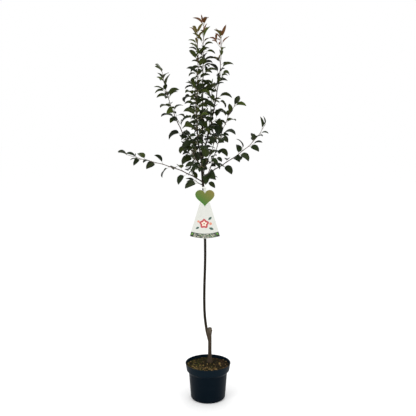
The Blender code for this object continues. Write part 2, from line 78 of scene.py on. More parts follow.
def feed(node, inputs):  # by name or in order: links a node or a socket, or sets a value or a hex colour
    for key, value in inputs.items() if isinstance(inputs, dict) else enumerate(inputs):
        if isinstance(value, bpy.types.Node):
            value = next(output for output in value.outputs if output.enabled)
        if isinstance(value, bpy.types.NodeSocket):
            node.id_data.links.new(value, node.inputs[key])
        else:
            isColour = isinstance(value, str) and value.startswith("#")
            node.inputs[key].default_value = toLinear(value) if isColour else value


def addNode(tree, kind, inputs=(), stops=(), **settings):  # one node with its settings, inputs and ramp stops
    node = tree.nodes.new(kind)
    for key, value in settings.items():
        setattr(node, key, value)
    feed(node, inputs)
    for place, code in stops:
        ramp = node.color_ramp.elements
        stop = ramp[0] if place == 0.0 else ramp[-1] if place == 1.0 else ramp.new(place)
        stop.color = toLinear(code)
    return node


def newMaterial(name, **sockets):  # a Principled material; plain numbers stay on the shader's own sockets
    material = bpy.data.materials.new(name)
    material.use_nodes = True
    tree = material.node_tree
    feed(tree.nodes["Principled BSDF"], {key.replace("_", " "): value for key, value in sockets.items()})
    return material, tree


def closeMaterial(material, base, layers, height=None, strength=0.0, depth=0.0):
    tree = material.node_tree   # each layer's colour covers the last by its share, and a height gives relief
    for share, code, *blend in layers:
        base = addNode(tree, "ShaderNodeMix", {0: share, 6: base, 7: code}, data_type="RGBA",
                       blend_type=blend[0] if blend else "MIX")
    ends = {"Base Color": base}
    if height is not None:
        ends["Normal"] = addNode(tree, "ShaderNodeBump", {
            "Height": height, "Strength": strength, "Distance": depth})
    feed(tree.nodes["Principled BSDF"], ends)
    return material


def newTree(name, inputs):  # a Geometry Nodes tree with its named inputs
    tree = bpy.data.node_groups.new(name, "GeometryNodeTree")
    for label, kind in {"Geometry": "Geometry", **inputs}.items():
        tree.interface.new_socket(label, in_out="INPUT", socket_type=f"NodeSocket{kind}")
    tree.interface.new_socket("Geometry", in_out="OUTPUT", socket_type="NodeSocketGeometry")
    return tree, addNode(tree, "NodeGroupInput").outputs


def closeTree(tree, geometry, material):  # every tree ends with real faces that carry their material
    real = addNode(tree, "GeometryNodeRealizeInstances", {"Geometry": geometry})
    dressed = addNode(tree, "GeometryNodeSetMaterial", {"Geometry": real, "Material": material})
    addNode(tree, "NodeGroupOutput", (dressed,))
    return tree


def runTree(piece, tree, **values):  # sets inputs by their identifiers and keeps the result as a plain mesh
    modifier = piece.modifiers.new(tree.name, "NODES")
    modifier.node_group = tree
    for item in tree.interface.items_tree:
        key = item.name[:1].lower() + item.name[1:].replace(" ", "")
        if item.in_out == "INPUT" and key in values:
            modifier[item.identifier] = values[key]
    applyModifiers(piece)


def applyModifiers(piece):
    bpy.context.view_layer.update()
    mesh = bpy.data.meshes.new_from_object(piece.evaluated_get(bpy.context.evaluated_depsgraph_get()))
    piece.modifiers.clear()
    piece.data = mesh


def newObject(name, vertices, faces, material=None, edges=(), smooth=True):
    mesh = bpy.data.meshes.new(name)
    mesh.from_pydata([tuple(v) for v in vertices], list(edges), [tuple(f) for f in faces])
    if smooth and len(faces):
        mesh.polygons.foreach_set("use_smooth", [True] * len(mesh.polygons))
    if material:
        mesh.materials.append(material)
    piece = bpy.data.objects.new(name, mesh)
    bpy.context.scene.collection.objects.link(piece)
    return piece


def addAttribute(mesh, name, values, kind="FLOAT"):
    attribute = mesh.attributes.new(name, kind, "POINT")
    key = "vector" if kind == "FLOAT_VECTOR" else "value"
    attribute.data.foreach_set(key, np.asarray(values, np.float32).ravel())


def finishPiece(piece, slotName, *replaced):  # the piece moves with the plant and stands for these nodes
    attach(piece, "root")
    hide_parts(*replaced)
    print(piece.name, len(piece.data.polygons), "faces")


def turnOutwards(piece):
    shape = bmesh.new()
    shape.from_mesh(piece.data)
    bmesh.ops.remove_doubles(shape, verts=shape.verts, dist=0.000001)
    bmesh.ops.recalc_face_normals(shape, faces=shape.faces)
    shape.to_mesh(piece.data)
    shape.free()


def ringAt(radius, height, sides):  # points of a circle round +Z
    angles = [math.tau * i / sides for i in range(sides)]
    return [(radius * math.cos(a), radius * math.sin(a), height) for a in angles]


def turned(profile, sides):  # vertices and faces of a profile of (radius, height) points turned round +Z
    vertices, rings, faces = [], [], []
    for radius, height in profile:
        if radius == 0:
            rings.append([len(vertices)] * sides)
            vertices.append((0, 0, height))
        else:
            rings.append(list(range(len(vertices), len(vertices) + sides)))
            vertices += ringAt(radius, height, sides)
    for low, high in zip(rings, rings[1:]):
        for i in range(sides):
            j = (i + 1) % sides
            corners = [low[i], low[j], high[j], high[i]]
            faces.append(sorted(set(corners), key=corners.index))
    return vertices, faces


def rounded(points, steps=4):  # an outline of (x, y, fillet) corners with each fillet as an arc
    outline = []
    for i, (x, y, fillet) in enumerate(points):
        corner = Vector((x, y))
        if not fillet or i in (0, len(points) - 1):
            outline.append((x, y))
            continue
        before = (Vector(points[i - 1][:2]) - corner).normalized()
        after = (Vector(points[i + 1][:2]) - corner).normalized()
        half = before.angle(after) / 2
        reach = fillet / math.tan(half)
        middle = corner + (before + after).normalized() * fillet / math.sin(half)
        start, end = corner + before * reach - middle, corner + after * reach - middle
        for k in range(steps + 1):
            outline.append(tuple(middle + start.slerp(end, k / steps) * fillet))
    return outline


# The growth rule, with the sizes, draws and order that the solids have

scionSizes = {
    "line": (                 # the trunk's axis, from the graft up to the fork
        (0.0085, 0.036, 0.300), (-0.0080, 0.032, 0.372), (-0.0185, 0.026, 0.470), (-0.0195, 0.020, 0.600),
        (-0.0150, 0.020, 0.800), (-0.0205, 0.018, 1.070), (-0.0310, 0.005, 1.240), (-0.0300, 0.005, 1.335)),
    "footRadius": 0.0076,
    "tipRadius": 0.0060,
    "steps": 5,
}
leafSizes = {
    "turn": math.radians(137.5),
    "turnRange": 0.4,         # by which each turn differs from that
    "lengths": (0.82, 1.15),  # of a leaf, as shares of its shoot's leaf
    "youngScale": 0.75,       # length of the youngest leaves, as a share of the oldest
    "width": 0.64,
    "youngWidth": 0.42,
    "fold": math.radians(42),
    "halfThickness": 0.0006,
    "spread": (14, 30),
    "droop": (10, 50),
    "ageSpread": 35,
    "ageDroop": 50,
    "roll": 0.8,
    "petioleHalfWidth": 0.0008,
    "petioleLength": 0.38,
    "outerPetiole": 0.4,
    "stations": ((0.36, 1.0), (0.74, 0.70)),
    "clearance": 0.001,
    "tries": (0.0, 0.5, -0.5, 1.0, -1.0, 1.5),   # turns tried until a leaf has room
    "upright": 0.25,          # a leaf that heads straighter up than this takes its side from the shoot
    "mostDroop": 0.9,
}
shootSizes = {
    "gap": 0.0003,
    "firstNode": 0.012,
    "lastNode": 0.012,
    "spacing": (0.8, 1.2),    # between nodes, as shares of the shoot's own, and how much closer at the tip
    "closer": 0.4,
    "zigzag": 0.0012,
    "ease": 0.003,
    "tipLeaves": 4,
    "tipLeafStep": 0.003,
    "tipRadius": 0.0011,
}
twigSizes = {"length": (0.022, 0.048), "spread": (38, 55), "rise": 0.35, "radius": 0.0016, "leaves": 3}

Shoot = namedtuple("Shoot", "name foot handleA handleB tip bare radius spacing leaf twigs turn seed")
shoots = (
    Shoot("left_leader", 1.300, (-0.088, -0.022, 1.490), (-0.034, -0.038, 1.700), (-0.056, -0.035, 1.930),
          0.075, 0.0042, 0.027, 0.066, 0.30, 0.8, 238),
    Shoot("centre_leader", None, (-0.028, 0.005, 1.530), (-0.026, 0.018, 1.750), (-0.023, 0.012, 1.980),
          0.060, 0.0046, 0.027, 0.066, 0.30, 5.0, 527),
    Shoot("right_leader", 1.285, (0.004, 0.020, 1.440), (0.075, 0.045, 1.684), (0.068, 0.038, 1.920),
          0.080, 0.0042, 0.028, 0.066, 0.28, 4.5, 105),
    Shoot("upper_left", 1.243, (-0.172, 0.020, 1.500), (-0.205, 0.030, 1.577), (-0.238, 0.030, 1.752),
          0.050, 0.0034, 0.030, 0.058, 0.20, 2.2, 776),
    Shoot("lower_left", 1.178, (-0.172, -0.020, 1.275), (-0.281, -0.030, 1.279), (-0.420, -0.030, 1.324),
          0.050, 0.0031, 0.035, 0.052, 0.12, 4.9, 8),
    Shoot("lower_right", 1.205, (0.190, 0.000, 1.337), (0.236, -0.010, 1.374), (0.294, -0.010, 1.476),
          0.065, 0.0032, 0.033, 0.052, 0.14, 4.7, 350),
    Shoot("thin_right", 1.163, (0.023, -0.030, 1.245), (0.069, -0.050, 1.493), (0.137, -0.050, 1.575),
          0.060, 0.0027, 0.035, 0.058, 0.12, 0.0, 295),
    Shoot("low_front", 1.190, (-0.020, -0.140, 1.300), (0.020, -0.200, 1.330), (0.035, -0.300, 1.420),
          0.050, 0.0032, 0.030, 0.060, 0.20, 2.2, 285),
    Shoot("high_front", 1.262, (-0.050, -0.110, 1.380), (-0.060, -0.150, 1.480), (-0.060, -0.190, 1.650),
          0.050, 0.0032, 0.028, 0.062, 0.26, 4.9, 701),
    Shoot("low_back", 1.222, (-0.060, 0.150, 1.300), (-0.080, 0.240, 1.330), (-0.100, 0.330, 1.410),
          0.050, 0.0032, 0.030, 0.060, 0.20, 2.5, 194),
    Shoot("high_back", 1.273, (-0.010, 0.090, 1.380), (0.020, 0.150, 1.500), (0.020, 0.180, 1.670),
          0.050, 0.0032, 0.028, 0.062, 0.26, 5.2, 134),
    Shoot("spur_left", 1.162, (-0.040, 0.014, 1.168), (-0.055, 0.010, 1.174), (-0.066, 0.008, 1.186),
          0.000, 0.0026, 0.011, 0.066, 0.00, 0.5, 956),
    Shoot("spur_right", 1.176, (-0.012, 0.026, 1.184), (-0.004, 0.036, 1.190), (0.004, 0.042, 1.198),
          0.000, 0.0024, 0.012, 0.060, 0.00, 1.4, 371),
    Shoot("spur_inner", 1.232, (-0.050, 0.030, 1.250), (-0.062, 0.040, 1.270), (-0.070, 0.046, 1.296),
          0.000, 0.0026, 0.012, 0.064, 0.00, 2.9, 882),
)
leaders = ("left_leader", "centre_leader", "right_leader")


class Path:  # a run of points, with the length from its start to each
    def __init__(self, points):
        self.points = [Vector(point) for point in points]
        self.marks = [0.0]
        for before, after in zip(self.points, self.points[1:]):
            self.marks.append(self.marks[-1] + (after - before).length)
        self.length = self.marks[-1]

    def at(self, distance):
        last = len(self.marks) - 2
        index = next((i for i, mark in enumerate(self.marks[1:]) if distance <= mark), last)
        step = self.points[index + 1] - self.points[index]
        return self.points[index] + step * (distance - self.marks[index]) / step.length, step.normalized()


def bezier(foot, handleA, handleB, tip, steps=64):
    points = []
    for i in range(steps + 1):
        t = i / steps
        rest = 1 - t
        points.append(Vector(foot) * rest**3 + Vector(handleA) * 3 * rest**2 * t
                      + Vector(handleB) * 3 * rest * t**2 + Vector(tip) * t**3)
    return Path(points)


def smoothThrough(places, steps):  # a path that runs smoothly through a few places
    stops = [Vector(place) for place in places]
    stops = [2 * stops[0] - stops[1], *stops, 2 * stops[-1] - stops[-2]]
    points = []
    for a, b, c, d in zip(stops, stops[1:], stops[2:], stops[3:]):
        for i in range(steps):
            t = i / steps
            points.append(0.5 * (2 * b + (c - a) * t + (2 * a - 5 * b + 4 * c - d) * t**2
                                 + (3 * b - a - 3 * c + d) * t**3))
    return Path([*points, stops[-2]])


scion = smoothThrough(scionSizes["line"], scionSizes["steps"])


def scionRadius(distance):
    foot, tip = scionSizes["footRadius"], scionSizes["tipRadius"]
    return foot + (tip - foot) * distance / scion.length


def scionAt(height):  # the trunk's axis at a height, and its radius there
    for before, after, mark in zip(scion.points, scion.points[1:], scion.marks):
        if after.z >= height:
            return before.lerp(after, (height - before.z) / (after.z - before.z)), scionRadius(mark)
    return scion.points[-1], scionSizes["tipRadius"]


def shootPath(shoot):
    foot = scion.points[-1] if shoot.foot is None else scionAt(shoot.foot)[0]
    return bezier(foot, shoot.handleA, shoot.handleB, shoot.tip)


def shootRadius(shoot, path, distance):
    return shoot.radius + (shootSizes["tipRadius"] - shoot.radius) * distance / path.length


def outwardAt(path, tangent, turn):  # the direction that stands out from a shoot at a turn round it
    across = (path.points[-1] - path.points[0]).cross(up)
    across = (across - tangent * across.dot(tangent)).normalized()
    return across * math.cos(turn) + tangent.cross(across) * math.sin(turn)


Leaf = namedtuple("Leaf", "root heading side length width petiole droop age")


def aimLeaf(root, tangent, outward, size, age, dice):  # an old leaf spreads, droops and is broad
    spread = math.radians(dice.uniform(*leafSizes["spread"]) + leafSizes["ageSpread"] * age)
    length = size * dice.uniform(*leafSizes["lengths"])
    droop = math.radians(dice.uniform(*leafSizes["droop"]) + leafSizes["ageDroop"] * age)
    roll = dice.uniform(-leafSizes["roll"], leafSizes["roll"])
    width = length * (leafSizes["youngWidth"] + (leafSizes["width"] - leafSizes["youngWidth"]) * age)
    heading = (tangent * math.cos(spread) + outward * math.sin(spread)).normalized()
    side = heading.cross(up)
    if side.length < leafSizes["upright"]:
        side = outward.cross(up) + 0.01 * tangent
    side = (side - heading * side.dot(heading)).normalized()
    droop = min(droop, leafSizes["mostDroop"] * heading.angle(-up))
    petiole = length * leafSizes["petioleLength"] * (0.5 + 0.5 * age)
    return Leaf(Vector(root), heading, Quaternion(heading, roll) @ side, length, width, petiole, droop, age)


def leafShell(leaf, start=0.0, more=0.0):  # the coarse leaf that the rule tests for room
    sections = []
    normal = leaf.side.cross(leaf.heading)
    stalk = leafSizes["petioleHalfWidth"] + more
    for share in (start, 1.0):
        sections.append((leaf.root + leaf.heading * leaf.petiole * share, normal, stalk, stalk))
    middle = sections[-1][0]
    before = 0.0
    for along, width in (*leafSizes["stations"], (1.0, 0.0)):
        bend = Quaternion(leaf.side, -leaf.droop * (before + along) / 2)
        middle = middle + (bend @ leaf.heading) * leaf.length * (along - before)
        normal = leaf.side.cross(Quaternion(leaf.side, -leaf.droop * along) @ leaf.heading)
        sections.append((middle, normal, leaf.width / 2 * width + more, leafSizes["halfThickness"] + more))
        before = along
    corners = []
    for index, (middle, normal, half, thick) in enumerate(sections[:-1]):
        fold = leafSizes["fold"] if index > 1 else 0.0
        aside = leaf.side * half * math.cos(fold)
        raised = middle + normal * half * math.sin(fold)
        lift = normal * thick
        corners += [raised - aside, middle + lift, raised + aside, middle - lift]
    corners.append(sections[-1][0])
    faces = [(0, 1, 2, 3)]
    for ring in range(len(sections) - 2):
        for k in range(4):
            a = 4 * ring + k
            b = 4 * ring + (k + 1) % 4
            faces.append((a, a + 4, b + 4, b))
    tip = len(corners) - 1
    faces += [(tip - 4 + k, tip, tip - 4 + (k + 1) % 4) for k in range(4)]
    return corners, faces


def tubeShell(points, radii, sides=4):  # a coarse limb to keep leaves off
    corners, faces = [], []
    for i, (point, radius) in enumerate(zip(points, radii)):
        along = (points[min(i + 1, len(points) - 1)] - points[max(i - 1, 0)]).normalized()
        across = along.cross(up if abs(along.z) < 0.9 else Vector((1, 0, 0))).normalized()
        for k in range(sides):
            angle = math.tau * k / sides
            outward = across * math.cos(angle) + along.cross(across) * math.sin(angle)
            corners.append(point + outward * radius)
    for ring in range(len(points) - 1):
        for k in range(sides):
            a, b = ring * sides + k, ring * sides + (k + 1) % sides
            faces.append((a, b, b + sides, a + sides))
    return corners, faces


class Crown:  # what has grown so far, and whether a new leaf is clear of it
    def __init__(self):
        self.limbs = []
        self.leaves = []

    def addLimb(self, mass, corners, faces):
        self.limbs.append((mass, BVHTree.FromPolygons(corners, faces)))

    def measured(self, leaf, more):
        corners, faces = leafShell(leaf, more=more)
        middle = sum(corners, Vector()) / len(corners)
        reach = max((corner - middle).length for corner in corners)
        outer = BVHTree.FromPolygons(*leafShell(leaf, leafSizes["outerPetiole"], more))
        return middle, reach, BVHTree.FromPolygons(corners, faces), outer

    def isClear(self, mass, leaf):
        middle, reach, whole, outer = self.measured(leaf, leafSizes["clearance"])
        for owner, limb in self.limbs:
            if (outer if owner == mass else whole).overlap(limb):
                return False
        for owner, otherMiddle, otherReach, otherWhole, otherOuter in self.leaves:
            if (otherMiddle - middle).length > reach + otherReach:
                continue
            if owner == mass and outer.overlap(otherOuter):
                return False
            if owner != mass and whole.overlap(otherWhole):
                return False
        return True

    def place(self, mass, root, tangent, path, turn, size, age, dice, room=None):
        state = dice.getstate()
        for shift in leafSizes["tries"]:
            dice.setstate(state)
            leaf = aimLeaf(root, tangent, outwardAt(path, tangent, turn + shift), size, age, dice)
            if (room is None or room(leaf)) and self.isClear(mass, leaf):
                self.leaves.append((mass, *self.measured(leaf, 0.0)))
                return leaf
        return None


Stem = namedtuple("Stem", "shoot path points radii nodes dice")
Mass = namedtuple("Mass", "stem twigs leaves")


def nextTurn(dice):
    return leafSizes["turn"] + dice.uniform(-leafSizes["turnRange"], leafSizes["turnRange"])


def planStem(shoot):  # the axis of a shoot's leafy part, bent a little at each node
    path = shootPath(shoot)
    dice = random.Random(shoot.seed)
    start = shoot.bare + shootSizes["gap"] if shoot.bare else 0.0
    points = [path.at(start)[0], path.at(start + shootSizes["ease"])[0]]
    marks = [start, start + shootSizes["ease"]]
    found = []
    spot = start + (1 if shoot.bare else 2) * shootSizes["firstNode"]
    turn = shoot.turn
    while spot < path.length - shootSizes["lastNode"]:
        point, tangent = path.at(spot)
        found.append((len(points), tangent, turn, spot / path.length))
        points.append(point + outwardAt(path, tangent, turn) * shootSizes["zigzag"])
        marks.append(spot)
        closer = shootSizes["closer"] * (spot / path.length) ** 4
        spot += shoot.spacing * dice.uniform(*shootSizes["spacing"]) * (1 - closer)
        turn += nextTurn(dice)
    points.append(path.at(path.length)[0])
    marks.append(path.length)
    return Stem(shoot, path, points, [shootRadius(shoot, path, mark) for mark in marks], found, dice)


def planTwig(root, tangent, outward, thickest, dice, length):  # a short twig that rises to its end
    spread = math.radians(dice.uniform(*twigSizes["spread"]))
    heading = tangent * math.cos(spread) + outward * math.sin(spread)
    rise = (heading + twigSizes["rise"] * up).normalized()
    elbow = root + heading * length / 2
    radius = min(twigSizes["radius"], thickest)
    return [root, elbow, elbow + rise * length / 2], [radius, 0.9 * radius, 0.7 * radius]


def leafScale(age):
    return leafSizes["youngScale"] + (1 - leafSizes["youngScale"]) * age


def growMass(stem, crown):  # the twigs and leaves that the solids have too
    shoot, path, dice = stem.shoot, stem.path, stem.dice
    twigs, leaves = [], []
    for index, tangent, turn, share in stem.nodes:
        age = 1.0 - share**3
        size = shoot.leaf * leafScale(age)
        if dice.random() < shoot.twigs * (1.3 - share):
            outward = outwardAt(path, tangent, turn)
            length = dice.uniform(*twigSizes["length"])
            points, radii = planTwig(stem.points[index], tangent, outward, stem.radii[index], dice, length)
            twigs.append((points, radii))
            aim = (points[2] - points[1]).normalized()
            start = dice.uniform(0, math.tau)
            for k in range(twigSizes["leaves"]):
                root = points[2].lerp(points[1], 0.1 + 0.16 * k)
                side = start + k * leafSizes["turn"]
                leaves.append(crown.place(shoot.name, root, aim, path, side, 0.9 * size, age, dice))
        else:
            leaves.append(crown.place(shoot.name, stem.points[index], tangent, path, turn, size, age, dice))
    tip, tangent = path.at(path.length)
    for k in range(shootSizes["tipLeaves"]):
        root = tip - tangent * (0.002 + shootSizes["tipLeafStep"] * k)
        side = shoot.turn + leafSizes["turn"] * k
        size = shoot.leaf * (0.75 + 0.1 * k)
        leaves.append(crown.place(shoot.name, root, tangent, path, side, size, 0.15 * k, dice))
    return Mass(stem, twigs, [leaf for leaf in leaves if leaf])


finerSizes = {  # finer twigs between those of the solids, with smaller leaves
    "step": (0.010, 0.018),
    "length": (0.005, 0.016),
    "leafScale": (0.50, 0.85),
    "leaves": (1, 2),
    "radius": 0.0010,
    "share": {"left_leader": 0.55, "centre_leader": 0.55, "right_leader": 0.45, "high_front": 0.4,
              "high_back": 0.4, "upper_left": 0.4, "lower_left": 0.15, "lower_right": 0.2, "thin_right": 0.25,
              "low_back": 0.1},
    "tipShare": 0.6,          # of that share, at a shoot's very tip, and how it rises down the shoot
    "tipRise": 3.2,
    "seedStep": 4000,
}


def growFiner(mass, crown):  # the same rule carried on to finer twigs, inside the reach of the mass's solid
    shoot, path = mass.stem.shoot, mass.stem.path
    dice = random.Random(shoot.seed + finerSizes["seedStep"])
    low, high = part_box(f"foliage_{shoot.name}")

    def room(leaf):
        corners = leafShell(leaf)[0]
        return all(low[k] <= corner[k] <= high[k] for corner in corners for k in range(3))

    run = Path(mass.stem.points)
    share = finerSizes["share"].get(shoot.name, 0.0)
    twigs, leaves = [], []
    spot = shootSizes["firstNode"]
    turn = dice.uniform(0, math.tau)
    while spot < run.length - shootSizes["lastNode"]:
        root, tangent = run.at(spot)
        done = (path.length - run.length + spot) / path.length
        age = 1.0 - done**3
        if dice.random() < share * min(1.0, finerSizes["tipShare"] + finerSizes["tipRise"] * (1.0 - done)):
            length = dice.uniform(*finerSizes["length"])
            outward = outwardAt(path, tangent, turn)
            points, radii = planTwig(root, tangent, outward, finerSizes["radius"], dice, length)
            aim = (points[2] - points[1]).normalized()
            start = dice.uniform(0, math.tau)
            found = []
            for k in range(dice.randint(*finerSizes["leaves"])):
                size = shoot.leaf * leafScale(age) * dice.uniform(*finerSizes["leafScale"])
                side = start + k * leafSizes["turn"]
                found.append(crown.place(shoot.name, points[2], aim, path, side, size, age, dice, room))
            found = [leaf for leaf in found if leaf]
            leaves += found
            twigs += [(points, radii)] if found else []
        spot += dice.uniform(*finerSizes["step"])
        turn += nextTurn(dice)
    return Mass(mass.stem, mass.twigs + twigs, mass.leaves + leaves)


def facesOf(piece):
    return [v.co.copy() for v in piece.data.vertices], [tuple(p.vertices) for p in piece.data.polygons]


def growCrown():
    crown = Crown()
    stems = [planStem(shoot) for shoot in shoots]
    for name in nodes:
        if name in ("trunk", "tag") or name.startswith("bough"):
            crown.addLimb(name if name in ("trunk", "tag") else "boughs", *facesOf(nodes[name]))
    for stem in stems:
        crown.addLimb(stem.shoot.name, *tubeShell(stem.points, stem.radii))
    masses = [growMass(stem, crown) for stem in stems]
    print("leaves as in the solids:", sum(len(mass.leaves) for mass in masses))
    return [growFiner(mass, crown) for mass in masses]


masses = growCrown()
foliageNodes = [f"foliage_{mass.stem.shoot.name}" for mass in masses]
print("leaves with the finer twigs:", sum(len(mass.leaves) for mass in masses))


# Bark: limbs swept along their paths by Geometry Nodes, with relief that follows them

barkSizes = {
    "step": 0.0028,           # between rings
    "start": 0.004,           # a side shoot's limb starts this far from the trunk's axis
    "collar": 0.55,           # swelling where a limb leaves the trunk, as a share of its radius
    "collarReach": 0.007,
    "leaderReach": 0.02,      # over which the centre leader thins from the trunk's own radius
    "nodeSwelling": 0.28,     # at each leaf node, as a share of the radius
    "nodeReach": 0.0022,
    "stalkRadius": 0.0010,    # of a leaf stalk at its ends, and how much thinner it is between them
    "stalkWaist": 0.0004,
    "stalkSag": 0.05,
    "dark": (*leaders, "high_front", "high_back", "low_front", "low_back"),   # shoots with the leaders' bark
}


def limbTree(material):
    tree, given = newTree("limbAlongPath", {
        "Sides": "Int", "Relief": "Float", "Grain Across": "Float", "Grain Along": "Float"})
    curve = addNode(tree, "GeometryNodeMeshToCurve", {"Mesh": given["Geometry"]})
    thickness = addNode(tree, "GeometryNodeInputNamedAttribute", {"Name": "thickness"}, data_type="FLOAT")
    circle = addNode(tree, "GeometryNodeCurvePrimitiveCircle", {"Resolution": given["Sides"], "Radius": 1.0})
    captured = []
    for geometry, measure in ((curve, "Length"), (circle, "Factor")):
        parameter = addNode(tree, "GeometryNodeSplineParameter")
        capture = addNode(tree, "GeometryNodeCaptureAttribute", domain="POINT")
        capture.capture_items.new("FLOAT", measure)
        feed(capture, (geometry, parameter.outputs[measure]))
        captured.append(capture)
    along, around = captured
    swept = addNode(tree, "GeometryNodeCurveToMesh", {
        "Curve": along, "Profile Curve": around, "Scale": thickness, "Fill Caps": True})
    angle = addNode(tree, "ShaderNodeMath", (around.outputs[1], math.tau), operation="MULTIPLY")
    cosine = addNode(tree, "ShaderNodeMath", (angle,), operation="COSINE")
    sine = addNode(tree, "ShaderNodeMath", (angle,), operation="SINE")
    ring = addNode(tree, "ShaderNodeCombineXYZ", {"X": cosine, "Y": sine})
    metres = addNode(tree, "ShaderNodeVectorMath", {0: ring, "Scale": thickness}, operation="SCALE")
    length = addNode(tree, "ShaderNodeCombineXYZ", {"Z": along.outputs[1]})
    place = addNode(tree, "ShaderNodeVectorMath", (metres, length))
    kept = addNode(tree, "GeometryNodeStoreNamedAttribute", {
        "Geometry": swept, "Name": "barkPlace", "Value": place}, data_type="FLOAT_VECTOR", domain="POINT")
    grain = addNode(tree, "ShaderNodeCombineXYZ", {
        "X": given["Grain Across"], "Y": given["Grain Across"], "Z": given["Grain Along"]})
    stretched = addNode(tree, "ShaderNodeVectorMath", (place, grain), operation="MULTIPLY")
    rough = addNode(tree, "ShaderNodeTexNoise", {"Vector": stretched, "Scale": 1.0, "Detail": 3.0})
    centred = addNode(tree, "ShaderNodeMath", (rough, 0.5), operation="SUBTRACT")
    deep = addNode(tree, "ShaderNodeMath", (centred, given["Relief"]), operation="MULTIPLY")
    height = addNode(tree, "ShaderNodeMath", (deep, thickness), operation="MULTIPLY")
    normal = addNode(tree, "GeometryNodeInputNormal")
    push = addNode(tree, "ShaderNodeVectorMath", {0: normal, "Scale": height}, operation="SCALE")
    raised = addNode(tree, "GeometryNodeSetPosition", {"Geometry": kept, "Offset": push})
    smooth = addNode(tree, "GeometryNodeSetShadeSmooth", {"Geometry": raised})
    return closeTree(tree, smooth, material)


def limbPaths(name, limbs):  # paths as edges, with the limb's radius at each point
    vertices, edges, radii = [], [], []
    for points, thickness in limbs:
        first = len(vertices)
        vertices += points
        radii += thickness
        edges += [(first + i, first + i + 1) for i in range(len(points) - 1)]
    piece = newObject(name, vertices, [], edges=edges)
    addAttribute(piece.data, "thickness", radii)
    return piece


def wholeShoot(mass):  # a shoot from the trunk's axis to its tip, swollen at its foot and at its nodes
    stem, size = mass.stem, barkSizes
    shoot, path = stem.shoot, stem.path
    stops = [path.at(shoot.bare * i / 4)[0] for i in range(4)] if shoot.bare else []
    stops += stem.points[1:] if shoot.bare else stem.points
    run = smoothThrough(stops, 6)
    knots = [run.marks[min(range(len(run.points)), key=lambda i: (run.points[i] - stem.points[index]).length)]
             for index, *rest in stem.nodes]
    start = 0.0 if shoot.foot is None else size["start"]
    count = int((run.length - start) / size["step"])
    trunkRadius = scionSizes["tipRadius"]
    points, radii = [], []
    for i in range(count + 1):
        mark = start + (run.length - start) * i / count
        radius = shoot.radius + (shootSizes["tipRadius"] - shoot.radius) * mark / run.length
        if shoot.foot is None:
            radius += (trunkRadius - shoot.radius) * math.exp(-mark / size["leaderReach"])
        else:
            radius *= 1 + size["collar"] * math.exp(-max(mark - trunkRadius, 0) / size["collarReach"])
        near = min((abs(mark - knot) for knot in knots), default=1.0)
        radius *= 1 + size["nodeSwelling"] * math.exp(-(near / size["nodeReach"]) ** 2)
        points.append(run.at(mark)[0])
        radii.append(radius)
    return points, radii


def bentPetiole(leaf):  # a stalk from the node to the blade, sagging a little on the way
    points, radii = [], []
    for i in range(5):
        t = i / 4
        sag = up * -barkSizes["stalkSag"] * leaf.petiole * math.sin(math.pi * t)
        points.append(leaf.root + leaf.heading * leaf.petiole * t + sag)
        waist = barkSizes["stalkWaist"] * math.sin(math.pi * min(t * 1.2, 1.0))
        radii.append(barkSizes["stalkRadius"] - waist)
    return points, radii


def youngBark():  # smooth brown bark of this year's and last year's wood, with pale lenticels
    material, tree = newMaterial("youngPearBark", Roughness=0.62, Specular_IOR_Level=0.14)
    place = addNode(tree, "ShaderNodeTexCoord").outputs["Object"]
    follow = addNode(tree, "ShaderNodeAttribute", attribute_name="barkPlace").outputs["Vector"]
    height = addNode(tree, "ShaderNodeSeparateXYZ", (place,)).outputs["Z"]
    share = addNode(tree, "ShaderNodeMapRange", (height, 1.30, 1.98))
    tint = addNode(tree, "ShaderNodeValToRGB", {"Fac": share}, stops=(
        (0.0, "#18130d"), (0.45, "#2e2119"), (0.8, "#543627"), (1.0, "#7a5638")))
    streak = addNode(tree, "ShaderNodeMapping", {"Vector": follow, "Scale": (900, 900, 60)})
    grain = addNode(tree, "ShaderNodeTexNoise", {"Vector": streak, "Scale": 1.0, "Detail": 4.0})
    dots = addNode(tree, "ShaderNodeMapping", {"Vector": follow, "Scale": (380, 380, 260)})
    cells = addNode(tree, "ShaderNodeTexVoronoi", {"Vector": dots, "Scale": 1.0})
    pale = addNode(tree, "ShaderNodeMapRange", (cells, 0.12, 0.22, 0.5, 0.0))
    layers = ((grain, "#2b211b", "OVERLAY"), (pale, "#a08a6c"))
    return closeMaterial(material, tint, layers, grain, 0.35, 0.0006)


def sideBark():  # thin greyish wood of the side shoots, mauve-brown under a bloom
    material, tree = newMaterial("sideShootBark", Roughness=0.6, Specular_IOR_Level=0.25)
    follow = addNode(tree, "ShaderNodeAttribute", attribute_name="barkPlace").outputs["Vector"]
    along = addNode(tree, "ShaderNodeSeparateXYZ", (follow,)).outputs["Z"]
    share = addNode(tree, "ShaderNodeMapRange", (along, 0.02, 0.22))
    streak = addNode(tree, "ShaderNodeMapping", {"Vector": follow, "Scale": (900, 900, 70)})
    grain = addNode(tree, "ShaderNodeTexNoise", {"Vector": streak, "Scale": 1.0, "Detail": 4.0})
    return closeMaterial(material, "#2c241a", ((share, "#6b5c50"), (grain, "#443930")), grain, 0.3, 0.0005)


def greenWood():  # green-brown bark of twigs and leaf stalks
    material, tree = newMaterial("greenTwigBark", Roughness=0.5, Specular_IOR_Level=0.3)
    place = addNode(tree, "ShaderNodeTexCoord").outputs["Object"]
    patches = addNode(tree, "ShaderNodeTexNoise", {"Vector": place, "Scale": 90.0})
    return closeMaterial(material, "#4d5a2a", ((patches, "#6d5a3a"),))


